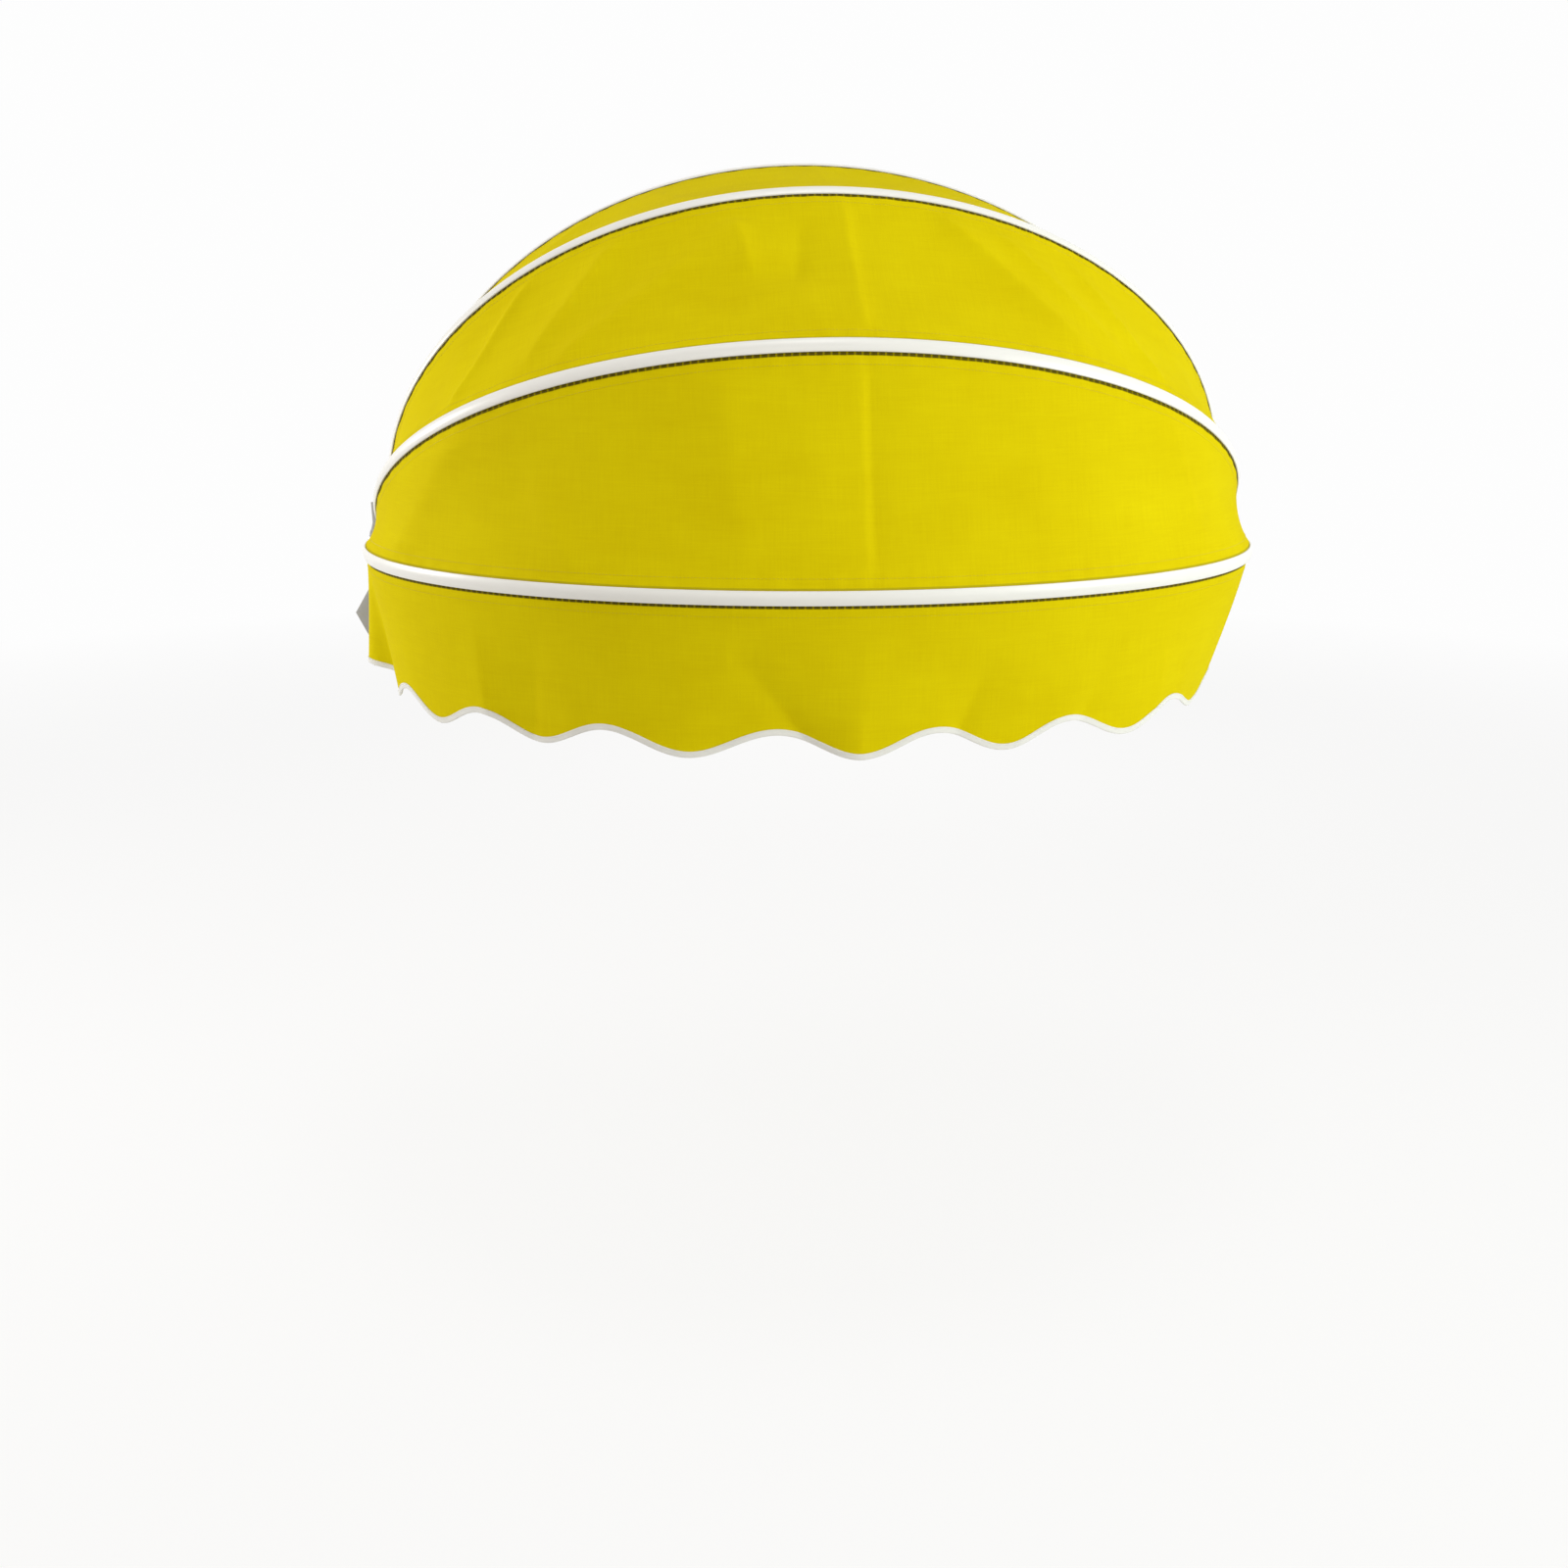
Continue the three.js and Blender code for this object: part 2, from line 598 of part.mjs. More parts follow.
function clipGeometry() {
  const top = CLIP_HEIGHT / 2;
  const outline = new THREE.Shape();
  outline.moveTo(0, -top);
  outline.lineTo(CLIP_THICKNESS, -top);
  outline.lineTo(CLIP_THICKNESS, top - CLIP_THICKNESS - CLIP_BEND);
  outline.lineTo(CLIP_THICKNESS + CLIP_BEND, top - CLIP_THICKNESS);
  outline.lineTo(CLIP_REACH, top - CLIP_THICKNESS);
  outline.lineTo(CLIP_REACH, top);
  outline.lineTo(CLIP_THICKNESS, top);
  outline.lineTo(0, top - CLIP_THICKNESS);
  const angle = new THREE.ExtrudeGeometry(outline, { depth: CLIP_LENGTH, bevelEnabled: false });
  const upright = new THREE.Matrix4().makeBasis(
    new THREE.Vector3(0, -1, 0),
    new THREE.Vector3(0, 0, 1),
    new THREE.Vector3(-1, 0, 0),
  );
  let clip = solid(angle.applyMatrix4(upright).translate(CLIP_LENGTH / 2, 0, 0));
  for (const side of [-1, 1]) {
    const x = (side * CLIP_HOLE_SPACING) / 2;
    clip = clip.subtract(solid(drillAlongY(x, 0, CLIP_HOLE_RADIUS, 3 * CLIP_THICKNESS)));
  }
  return geometryOf(clip.subtract(solid(screwHole(top - CLIP_THICKNESS / 2))));
}

// Hole for the bow screw, centred at a height in the clip's frame
function screwHole(height) {
  const radius = SCREW_RADIUS + SEAT_GAP;
  const hole = new THREE.CylinderGeometry(radius, radius, 2 * CLIP_THICKNESS, ROUND_SIDES);
  return hole.rotateX(Math.PI / 2).translate(0, -PIVOT_TO_WALL, height);
}

function bowScrew() {
  const seat = CLIP_HEIGHT / 2 - CLIP_THICKNESS - SEAT_GAP;
  const profile = [
    [0, seat - SCREW_HEAD_HEIGHT],
    [SCREW_HEAD_RADIUS * 0.7, seat - SCREW_HEAD_HEIGHT],
    [SCREW_HEAD_RADIUS, seat - SCREW_HEAD_HEIGHT / 2],
    [SCREW_HEAD_RADIUS, seat],
    [SCREW_RADIUS, seat],
    [SCREW_RADIUS, seat + SCREW_LENGTH - SCREW_RADIUS],
    [0, seat + SCREW_LENGTH],
  ];
  return turned(profile, ROUND_SIDES).rotateX(Math.PI / 2).translate(0, -PIVOT_TO_WALL, 0);
}

// Place and turn of a clip under a flat of the rear bow, from the pivot's frame
function clipPlace(flat) {
  const { rear } = bows;
  const [x0, z0] = rear.flatPoint(flat, -TUBE_DEPTH);
  const [x1, z1] = rear.flatPoint(flat + 1, -TUBE_DEPTH);
  const normal = new THREE.Vector2(z0 - z1, x1 - x0).normalize();
  const inset = CLIP_HEIGHT / 2 + SEAT_GAP;
  const x = (x0 + x1) / 2 - inset * normal.x;
  const z = (z0 + z1) / 2 - inset * normal.y;
  return { x, z, turn: Math.atan2(normal.x, normal.y) };
}

// Assembly

const topFlat = (ARCH_STEPS + 1) / 2;
const clipFlats = {
  left_wall_clip: topFlat - SHOULDER_CLIP_FLAT,
  top_wall_clip: topFlat,
  right_wall_clip: topFlat + SHOULDER_CLIP_FLAT,
};
const pivotHeight = -clipPlace(topFlat).z;
const SIDES = { left: -1, right: 1 };

const pivot = new THREE.Group();
pivot.position.set(0, -PIVOT_TO_WALL, pivotHeight);
awning.add(pivot);

function buildWallClips() {
  for (const [name, flat] of Object.entries(clipFlats)) {
    const { x, z, turn } = clipPlace(flat);
    const seat = new THREE.Group();
    seat.position.set(x, 0, z + pivotHeight);
    seat.rotation.y = turn;
    awning.add(seat);
    add(seat, name, clipGeometry(), GREY_METAL);
    add(seat, `${name}_screw`, bowScrew(), ZINC);
  }
}

// The rear bow has a screw hole over each clip and no groove on its wall side
function rearTube() {
  let tube = solid(bowTube(bows.rear, true, false));
  for (const flat of Object.values(clipFlats)) {
    const { x, z, turn } = clipPlace(flat);
    const hole = screwHole(CLIP_HEIGHT / 2 + SEAT_GAP);
    hole.rotateY(turn).translate(x, PIVOT_TO_WALL, z).rotateX(bows.rear.angle - Math.PI);
    tube = tube.subtract(solid(hole));
  }
  return geometryOf(tube);
}

function buildBows() {
  for (const bow of Object.values(bows)) {
    const plane = new THREE.Group();
    plane.rotation.x = Math.PI - bow.angle;
    pivot.add(plane);
    const tube = bow === bows.rear ? rearTube() : bowTube(bow, true, true);
    add(plane, `${bow.name}_bow`, tube, POWDER_COAT);
    for (const [side, sign] of Object.entries(SIDES)) {
      add(plane, `${side}_${bow.name}_knuckle`, knuckleGeometry(bow, sign), NYLON);
    }
  }
}

function buildFabric() {
  add(pivot, "lower_panel", panelGeometry(bows.front, bows.middle), CANVAS);
  add(pivot, "middle_panel", panelGeometry(bows.middle, bows.upper), CANVAS);
  add(pivot, "upper_panel", panelGeometry(bows.upper, bows.rear), CANVAS);
  add(pivot, "valance", loft(valancePlaces().map(valanceLoop)), CANVAS);
  add(pivot, "hem_binding", loft(valancePlaces().map(bindingLoop)), TAPE);
}

function buildPivots() {
  const rearEye = bows.rear.halfWidth + BOW_MIDDLE - KNUCKLE_THICKNESS / 2;
  const frontEye = bows.front.halfWidth + BOW_MIDDLE + KNUCKLE_THICKNESS / 2;
  const innerFace = rearEye - WASHER_PITCH;
  const outerFace = frontEye + WASHER_PITCH;
  const nutFace = innerFace - EAR_THICKNESS - SEAT_GAP;
  const nutEnd = nutFace - NUT_HEIGHT - NUT_COLLAR_HEIGHT;
  const bracket = bracketGeometry(innerFace, outerFace);
  const bolt = mergeVertices(pivotBolt(outerFace + EAR_THICKNESS + SEAT_GAP, nutEnd - BOLT_TAIL));
  const nut = lockNut(nutFace);
  const washerStarts = [innerFace, ...Object.values(bows).reverse().map(washerAfter)];
  for (const side of Object.keys(SIDES)) {
    const facing = side === "right" ? (geometry) => geometry : mirrored;
    add(pivot, `${side}_bracket`, facing(bracket), GREY_METAL).position.y = PIVOT_TO_WALL;
    add(pivot, `${side}_pivot_bolt`, facing(bolt), ZINC);
    add(pivot, `${side}_lock_nut`, facing(nut), ZINC);
    washerStarts.forEach((start, i) => {
      const washer = mergeVertices(ring(WASHER_RADIUS, BOLT_HOLE_RADIUS, WASHER_THICKNESS));
      washer.translate(start + SEAT_GAP, 0, 0);
      add(pivot, `${side}_washer_${i + 1}`, facing(washer), NYLON);
    });
  }
}

function washerAfter(bow) {
  return bow.halfWidth + BOW_MIDDLE + KNUCKLE_THICKNESS / 2;
}

buildWallClips();
buildBows();
buildFabric();
buildPivots();

export default awning;
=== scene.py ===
import json
import math

import bpy
import numpy as np
from mathutils import Matrix, Vector

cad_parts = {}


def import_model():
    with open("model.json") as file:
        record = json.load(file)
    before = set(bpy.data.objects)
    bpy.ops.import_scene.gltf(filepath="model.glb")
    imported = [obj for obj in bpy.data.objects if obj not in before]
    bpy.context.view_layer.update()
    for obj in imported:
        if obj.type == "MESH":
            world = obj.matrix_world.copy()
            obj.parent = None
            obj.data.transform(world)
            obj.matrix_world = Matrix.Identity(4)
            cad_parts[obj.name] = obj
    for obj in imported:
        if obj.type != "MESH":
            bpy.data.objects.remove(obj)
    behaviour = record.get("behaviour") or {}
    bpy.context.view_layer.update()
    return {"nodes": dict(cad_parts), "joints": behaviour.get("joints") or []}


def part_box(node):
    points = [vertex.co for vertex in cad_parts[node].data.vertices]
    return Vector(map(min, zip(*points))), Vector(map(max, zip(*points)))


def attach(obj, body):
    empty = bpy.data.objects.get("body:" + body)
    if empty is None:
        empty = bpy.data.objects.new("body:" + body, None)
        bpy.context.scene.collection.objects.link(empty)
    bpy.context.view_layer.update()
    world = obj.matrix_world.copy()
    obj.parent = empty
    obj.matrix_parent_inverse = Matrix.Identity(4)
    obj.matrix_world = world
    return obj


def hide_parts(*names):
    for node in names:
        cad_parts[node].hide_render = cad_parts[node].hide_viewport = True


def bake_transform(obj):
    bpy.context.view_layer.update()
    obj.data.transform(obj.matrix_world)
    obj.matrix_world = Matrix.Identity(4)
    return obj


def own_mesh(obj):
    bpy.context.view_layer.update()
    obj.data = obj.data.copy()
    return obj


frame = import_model()

# Sizes in metres. The pivot axis comes from the frame, the rest repeat the solids' driving sizes.
PIVOT = np.array(frame["joints"][0]["pos_m"])
HALF_WIDTH = 0.6
REACH = 0.53
LEG = 0.05
NEST_STEP = 0.015
SEAT_GAP = 0.0003
BOW_ANGLES = {"front": 0, "middle": 30, "upper": 59, "rear": 90}
BODY_OF_BOW = {"front": "front", "middle": "middle", "upper": "upper", "rear": "root"}

# Bow section: across runs towards the next bow up, height outward from the cloth
BOW_WIDTH = 0.016
CROWN = 0.0045
CROWN_EDGE = 0.0023
TUBE_DEPTH = 0.0095
TUBE_WIDTH = 0.0094
GROOVE_OFFSET = 0.0046
GROOVE_RADIUS = 0.0024
SLIT = 0.0008
LIP_WIDTH = 0.0074
LIP_DEPTH = 0.0022
NECK_DEPTH = 0.0034
TUBE_START = 0.025

# Rounding of the section's corners, from the crown down to the tube
CROWN_SHARE = 0.94  # of the half crown, before its edge is rounded
CROWN_ROUND = 0.0005
MOUTH_ROUND = 0.0002
PLAIN_EDGE_ROUND = 0.0003
LIP_ROUND = 0.0004
NECK_ROUND = 0.0008
TUBE_ROUND = 0.0012

# Cloth and panels
CLOTH = 0.0007
BEAD_RADIUS = 0.002
EXIT_GAP = 0.0008
CLOTH_EXIT = BOW_WIDTH / 2 + EXIT_GAP
PANEL_END_WIDTH = 0.006
PANEL_SAG = 0.006
PANEL_RIPPLE = 0.0016
PANEL_RIPPLE_SIZE = 0.24
PANEL_RIPPLE_SPREAD = 0.5
PUCKER = 0.0004
PUCKER_PITCH = 0.034
PUCKER_DRIFT = 23  # radians per metre by which the puckers lose their even step
PUCKER_PLACE = 0.035  # share of the panel's width in from each edge
PUCKER_WIDTH = 0.04
FOLD_ROUNDING = 0.18  # share of a fold's narrower side
FOLD_FADE = 14  # how fast a fold ends beyond its two points
FOLD_EDGE_SLOPE = 7  # how fast a panel's folds rise from its edges

# Valance
VALANCE_START = 0.03
VALANCE_DEPTH = 0.18
SCALLOP_DEPTH = 0.026
SCALLOP_WIDTH = 0.18
SCALLOP_DRIFT = 0.009
SCALLOP_DRIFT_START = 0.02
SCALLOP_DRIFT_PITCH = 0.7
VALANCE_LEAN = 0.004
VALANCE_CURVE = 1.3
LEFT_TUCK = 0.01
RIGHT_TUCK = 0.11
TUCK_LENGTH = 0.6
FLARE_OUT = 0.028
FOLD_IN = 0.03
FOLD_PLACE = 0.09
FOLD_STEP = 0.016
FOLD_LENGTH = 0.1
VALANCE_WAVE = 0.003
VALANCE_WAVE_PITCH = 0.31
VALANCE_WAVE_DRIFT = 7.0
VALANCE_WAVE_START = 0.6
VALANCE_RIPPLE = 0.0024
VALANCE_RIPPLE_SIZE = 0.2
VALANCE_RIPPLE_SPREAD = 0.4
VALANCE_RIPPLE_SEED = 11

# Hem binding
BINDING = 0.0008
BINDING_HEIGHT = 0.0066
BINDING_GAP = 0.0001
BINDING_EASE = 0.0002
BINDING_FOLD = 0.001

# Stitches. A thread's stations are its share of the stitch, share of the radius and lift in radii.
THREAD_SIDES = 6
THREAD_STATIONS = [(0.0, 0.4, -0.5), (0.2, 1.0, 0.3), (0.8, 1.0, 0.3), (1.0, 0.4, -0.5)]
STITCH_POINTS = THREAD_SIDES * len(THREAD_STATIONS)
SEAM_INSET = 0.012
EDGE_INSET = 0.0014
STITCH_PITCH, STITCH_GAP = 0.0042, 0.0011
THREAD_RADIUS = 0.0003
VALANCE_EDGE_THREAD_RADIUS = 0.0004
HEM_STITCH_PITCH, HEM_STITCH_GAP = 0.0038, 0.001
HEM_THREAD_RADIUS = 0.00026

# Pivot stack and fittings
KNUCKLE = 0.012
KNUCKLE_RADIUS = 0.011
KNUCKLE_SHOULDER = 0.015
KNUCKLE_BEVEL = 0.0007
WASHER_COUNT = 5
WASHER_BEVEL = 0.0003
BOLT_RADIUS = 0.004
BOLT_HOLE = BOLT_RADIUS + SEAT_GAP
BOLT_HEAD_HEIGHT = 0.0044
BOLT_HEAD_RADIUS = 0.007
BOLT_CHAMFER = 0.0008
BOLT_THREAD_DEPTH = 0.0005
BOLT_THREAD = (0.0012, 0.012, 0.0006)  # start, end and half a turn, from the tail
BOLT_SHANK_START = 0.0125
BOLT_SOCKET_RADIUS = 0.0024
BOLT_SOCKET_DEPTH = 0.0024
TURNED_EASE = 0.0002  # at the corners of the turned pieces
NUT_ACROSS_FLATS = 0.013
NUT_HEIGHT = 0.006
NUT_BEVEL = 0.0005
NUT_COLLAR = 0.002
NUT_COLLAR_RADIUS = 0.0056
NUT_COLLAR_CHAMFER = 0.0008
NUT_COLLAR_SHOULDER = 0.0007
SCREW_LENGTH = 0.0092
SCREW_RADIUS = 0.0016
SCREW_CORE_RADIUS = 0.0012
SCREW_THREAD = (0.0026, 0.0078, 0.0004)  # start, end and half a turn, from the head
SCREW_DIMPLE = [(0, 0.0009), (0.0007, 0.0008), (0.0011, 0.0001)]  # radius, depth into the head
SCREW_HEAD = [(0.002, 0.0001), (0.0028, 0.0006), (0.0032, 0.0014), (0.0032, 0.0022), (0.0016, 0.0022)]
SCREW_TIP = [(0.001, 0.0082), (0, SCREW_LENGTH)]
BRACKET_BEVEL = 0.0006
CLIP_BEVEL = 0.0004

# Mesh densities, and the angles over which an edge is sharp
ARCH_STEPS = 216
LEG_STEPS = 6
CROWN_POINTS = 9
GROOVE_POINTS = 15
BEAD_POINTS = 10
PANEL_STEPS = 440
PANEL_ROWS = 50
VALANCE_STEPS = 600
VALANCE_ROWS = 30
ROUND_STEPS = 40
SHARP_DEGREES = 35
CLOTH_SHARP_DEGREES = 60
TAPE_SHARP_DEGREES = 50
PLATE_SHARP_DEGREES = 30

# Colours, linear: a pair is the darker and the lighter end of a finish
CANVAS_YELLOW = (0.65, 0.515, 0.001, 1), (0.77, 0.66, 0.003, 1)
# painted shade: colour of the canvas between its threads
CANVAS_SHADE_BETWEEN_THREADS = (0.42, 0.31, 0.001, 1)
# painted shadow: colour of the dark strip on the cloth under a bow
CANVAS_SEAM_SHADOW = (0.07, 0.052, 0.001, 1)
# painted shade: colour of the dim line on the cloth at the lip above a bow
CANVAS_LIP_SHADE = (0.2, 0.17, 0.02, 1)
CANVAS_GLOSS_TINT = (1.0, 0.92, 0.4, 1)
TAPE_WHITE = (0.72, 0.72, 0.68, 1), (0.86, 0.86, 0.83, 1)
THREAD_YELLOW = (0.5, 0.4, 0.004, 1), (0.66, 0.55, 0.01, 1)
# real stitches, whose dark colour is painted shade for the strip under each bow
THREAD_OLIVE_SHADE = (0.05, 0.04, 0.004, 1), (0.1, 0.08, 0.008, 1)
THREAD_WHITE = (0.7, 0.7, 0.66, 1), (0.85, 0.85, 0.82, 1)
POWDER_WHITE = (0.8, 0.8, 0.77, 1), (0.86, 0.86, 0.84, 1)
POWDER_GREY = (0.37, 0.375, 0.38, 1), (0.49, 0.495, 0.5, 1)
NYLON_WHITE = (0.66, 0.66, 0.62, 1), (0.78, 0.78, 0.74, 1)
ZINC_GREY = (0.5, 0.51, 0.53, 1), (0.68, 0.69, 0.7, 1)
WHITE = (1, 1, 1, 1)
FLOOR_GREY = (0.8, 0.8, 0.8, 1)
SOFT_LIGHT = (1, 0.935, 0.87, 1)

# Canvas: its weave with painted shade between the threads, the dashed painted shadow in the seam under a bow
# and the dim painted shade line at the lip above one
WEAVE_PITCH = 0.00055
SEAM_SHADE = 0.0034
SEAM_BLUR = 0.0012
SEAM_DASH_PITCH = 0.0085
LIP_SHADE = 0.0022
LIP_BLUR = 0.001

# Stage
BACKDROP = 0.985
SOFT_STRENGTH = 0.45
FLOOR_HALF = 14.0
FLOOR_HEIGHT = -1.5
FLOOR_NEAR = 2.2
FLOOR_FADE = 3.6
FLOOR_NEAR_SHARE = 0.8

# Area lights: name, place, aim, size, watts and colour. The key is on the right, a rim light
# grazes the cloth from the left, and weak ones stand in front, overhead and behind.
CANOPY_MIDDLE = (0, -0.3, -0.35)
LEFT_SIDE = (-0.5, -0.2, -0.4)
LIGHTS = [
    ("key", (3.1, -2.0, 0.5), CANOPY_MIDDLE, 0.8, 75, (0.94, 1.0, 0.95)),
    ("rim", (-3.2, 0.4, 0.4), LEFT_SIDE, 0.9, 50, (1.0, 0.99, 0.96)),
    ("front", (-0.8, -3.2, 0.6), CANOPY_MIDDLE, 1.2, 12, (1.0, 0.96, 0.9)),
    ("top", (0.0, -0.9, 2.6), CANOPY_MIDDLE, 0.8, 18, (1.0, 1.0, 1.0)),
    ("back", (0.6, 3.2, 0.2), CANOPY_MIDDLE, 1.2, 26, (1.0, 1.0, 1.0)),
]

# Camera: its place from the pivot axis, its aim in degrees and its lens in millimetres
CAMERA_PLACE = (-0.195, -1.9734, 0.249)
CAMERA_PAN = 4.723
CAMERA_TILT = -17.427
CAMERA_ROLL = 0.066
CAMERA_SENSOR = 36
CAMERA_LENS = 31.5


# Meshes

def linked(name, data):
    """An object in the scene with the given mesh, curve, light or camera."""
    made = bpy.data.objects.new(name, data)
    bpy.context.scene.collection.objects.link(made)
    return made


def evaluated_mesh(carrier):
    """The mesh that an object shows once its curve or modifiers are worked out."""
    bpy.context.view_layer.update()
    shown = carrier.evaluated_get(bpy.context.evaluated_depsgraph_get())
    return bpy.data.meshes.new_from_object(shown)


def shade_smooth(mesh, sharp_degrees):
    """Smooth shading with sharp edges where faces meet at more than the given angle."""
    mesh.polygons.foreach_set("use_smooth", [True] * len(mesh.polygons))
    mesh.set_sharp_from_angle(angle=math.radians(sharp_degrees))


def mesh_object(name, points, faces, sharp_degrees=SHARP_DEGREES):
    """A smooth-shaded object from points and faces."""
    mesh = bpy.data.meshes.new(name)
    mesh.from_pydata([tuple(p) for p in points], [], [tuple(int(i) for i in f) for f in faces])
    mesh.update()
    shade_smooth(mesh, sharp_degrees)
    return linked(name, mesh)


def ring_faces(rows, size, closed_rows=False):
    """Quads between neighbouring rings, and the two end caps where the rows don't close."""
    count = rows if closed_rows else rows - 1
    row = np.repeat(np.arange(count), size)
    i = np.tile(np.arange(size), count)
    after = (i + 1) % size
    above = (row + 1) % rows
    quads = np.stack([row * size + i, row * size + after, above * size + after, above * size + i], 1)
    faces = [list(q) for q in quads]
    if not closed_rows:
        faces.append(list(range(size))[::-1])
        faces.append([(rows - 1) * size + k for k in range(size)])
    return faces


def sweep(name, rings, sharp_degrees=SHARP_DEGREES):
    """A body through a row of like closed rings, an array of rows x points x 3."""
    rows, size = rings.shape[:2]
    return mesh_object(name, rings.reshape(-1, 3), ring_faces(rows, size), sharp_degrees)


def set_point_values(made, values):
    """Stores one vector per point, which the materials of the cloth read."""
    attribute = made.data.attributes.new("cloth", "FLOAT_VECTOR", "POINT")
    attribute.data.foreach_set("vector", np.asarray(values, np.float32).ravel())


def stand_in(made, node, body):
    """The piece takes the place of one of the solids and moves with its body."""
    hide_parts(node)
    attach(made, body)
    return made


def unit(vectors):
    """The vectors at length 1."""
    return vectors / np.maximum(np.linalg.norm(vectors, axis=-1, keepdims=True), 1e-12)


# Bows

class Bow:
    """A straight leg, a half ellipse and a straight leg in a plane through the pivot axis.

    A place along it is minus the metres left on the first leg, then the arch's angle from
    0 to pi, then pi plus the metres along the second leg."""

    def __init__(self, name, nest):
        self.name = name
        self.angle = math.radians(BOW_ANGLES[name])
        self.half_width = HALF_WIDTH - nest * NEST_STEP
        self.rise = REACH - nest * NEST_STEP - LEG

    def points(self, places, across, height):
        """Points in the row frame. Places, across and height broadcast against each other."""
        places, across, height = np.broadcast_arrays(places, across, height)
        turn = np.clip(places, 0, math.pi)
        leg = np.minimum(places, 0) - np.maximum(places - math.pi, 0)
        side = -self.rise * np.cos(turn)
        up = self.half_width * np.sin(turn)
        size = np.hypot(side, up)
        x = -self.half_width * np.cos(turn) + height * side / size
        out = LEG + leg + self.rise * np.sin(turn) + height * up / size
        y = across * math.sin(self.angle) - out * math.cos(self.angle)
        z = across * math.cos(self.angle) + out * math.sin(self.angle)
        return np.stack([x, y, z], -1) + PIVOT


def bow_places(start, arch_steps=ARCH_STEPS):
    """Places from a distance off the pivot axis on one leg to the same distance on the other."""
    leg = np.linspace(start - LEG, 0, LEG_STEPS, endpoint=False)
    arch = np.linspace(0, math.pi, arch_steps + 1)
    return np.concatenate([leg, arch, math.pi - leg[::-1]])


def distances(points):
    """Distance along a row of points, from its middle."""
    steps = np.linalg.norm(np.diff(points, axis=0), axis=1)
    along = np.concatenate([[0], np.cumsum(steps)])
    return along - along[-1] / 2


bows = {name: Bow(name, nest) for nest, name in enumerate(BOW_ANGLES)}


def fillet(before, corner, after, radius, steps=3):
    """Points of a rounded corner between two straight runs of an outline."""
    before, corner, after = (np.array(p, float) for p in (before, corner, after))
    to_before, to_after = unit(before - corner), unit(after - corner)
    start, end = corner + to_before * radius, corner + to_after * radius
    shares = np.linspace(0, 1, steps + 1)
    return [tuple((1 - t) ** 2 * start + 2 * t * (1 - t) * corner + t**2 * end) for t in shares]


def section_side(grooved):
    """Half of the bow's outline from the crown's middle to the middle of the tube's inner face."""
    half = BOW_WIDTH / 2
    shares = np.linspace(0, CROWN_SHARE, CROWN_POINTS)
    outline = [(t * half, CROWN - (CROWN - CROWN_EDGE) * t**2) for t in shares]
    crown_edge = (half, CROWN_EDGE)
    lip_edge = (LIP_WIDTH, -LIP_DEPTH)
    if grooved:
        outline += fillet(outline[-1], crown_edge, (half, SLIT), CROWN_ROUND)
        mouth = math.asin(SLIT / GROOVE_RADIUS)
        lip = GROOVE_OFFSET + GROOVE_RADIUS * math.cos(mouth)
        outline += fillet(crown_edge, (half, SLIT), (lip, SLIT), MOUTH_ROUND, 2)
        for turn in np.linspace(mouth, 2 * math.pi - mouth, GROOVE_POINTS):
            across = GROOVE_OFFSET + GROOVE_RADIUS * math.cos(turn)
            outline.append((across, GROOVE_RADIUS * math.sin(turn)))
        outline += fillet((lip, -SLIT), (LIP_WIDTH, -SLIT), lip_edge, MOUTH_ROUND, 2)
    else:
        outline += fillet(outline[-1], crown_edge, (half, 0), CROWN_ROUND)
        outline += fillet(crown_edge, (half, 0), lip_edge, PLAIN_EDGE_ROUND, 2)
    neck = (TUBE_WIDTH / 2, -NECK_DEPTH)
    foot = (TUBE_WIDTH / 2, -TUBE_DEPTH)
    outline += fillet((LIP_WIDTH, -SLIT), lip_edge, neck, LIP_ROUND)
    outline += fillet(lip_edge, neck, foot, NECK_ROUND)
    outline += fillet(neck, foot, (0, -TUBE_DEPTH), TUBE_ROUND)
    return outline


def bow_tube(bow):
    """One bow's profile between its cut ends. The rear bow has no groove on its wall side."""
    right = section_side(grooved=bow.name != "rear")
    left = [(-across, height) for across, height in section_side(grooved=True)][1:]
    section = np.array(right + left[::-1])
    places = bow_places(TUBE_START)
    rings = bow.points(places[:, None], section[None, :, 0], section[None, :, 1])
    made = sweep(f"{bow.name}_bow_profile", rings)
    return stand_in(made, f"{bow.name}_bow", BODY_OF_BOW[bow.name])


# Cloth

def bead_ring(bow, places, side):
    """Rings round a groove's centre, open towards the cloth on the given side, outer face first."""
    mouth = math.asin(CLOTH / 2 / BEAD_RADIUS)
    turn = np.linspace(mouth, 2 * math.pi - mouth, BEAD_POINTS)
    across = side * (GROOVE_OFFSET + BEAD_RADIUS * np.cos(turn))
    return bow.points(places[:, None], across[None, :], BEAD_RADIUS * np.sin(turn)[None, :])


def surface_normals(grid):
    """Unit normals of a grid of points, places x rows x 3: outward where the rows run up."""
    along = np.gradient(grid, axis=0)
    across = np.gradient(grid, axis=1)
    return unit(np.cross(along, across))


def bump(x, centre, width):
    """A smooth hill of height 1."""
    return np.exp(-(((x - centre) / width) ** 2))


def ripples(seed, along, across, size, spread):
    """Smooth noise, about -1 to 1: sums of waves that run within an angle of the cloth's length."""
    octaves, waves, finer = 3, 5, 1.8
    draws = np.random.default_rng(seed)
    total = np.zeros(np.broadcast(along, across).shape)
    for octave in range(octaves):
        for _ in range(waves):
            heading = draws.uniform(-spread, spread)
            phase = draws.uniform(0, 2 * math.pi)
            pitch = size / finer**octave * draws.uniform(0.7, 1.4)
            run = along * math.cos(heading) + across * math.sin(heading)
            total += np.sin(2 * math.pi * run / pitch + phase) / 2**octave
    return total / waves


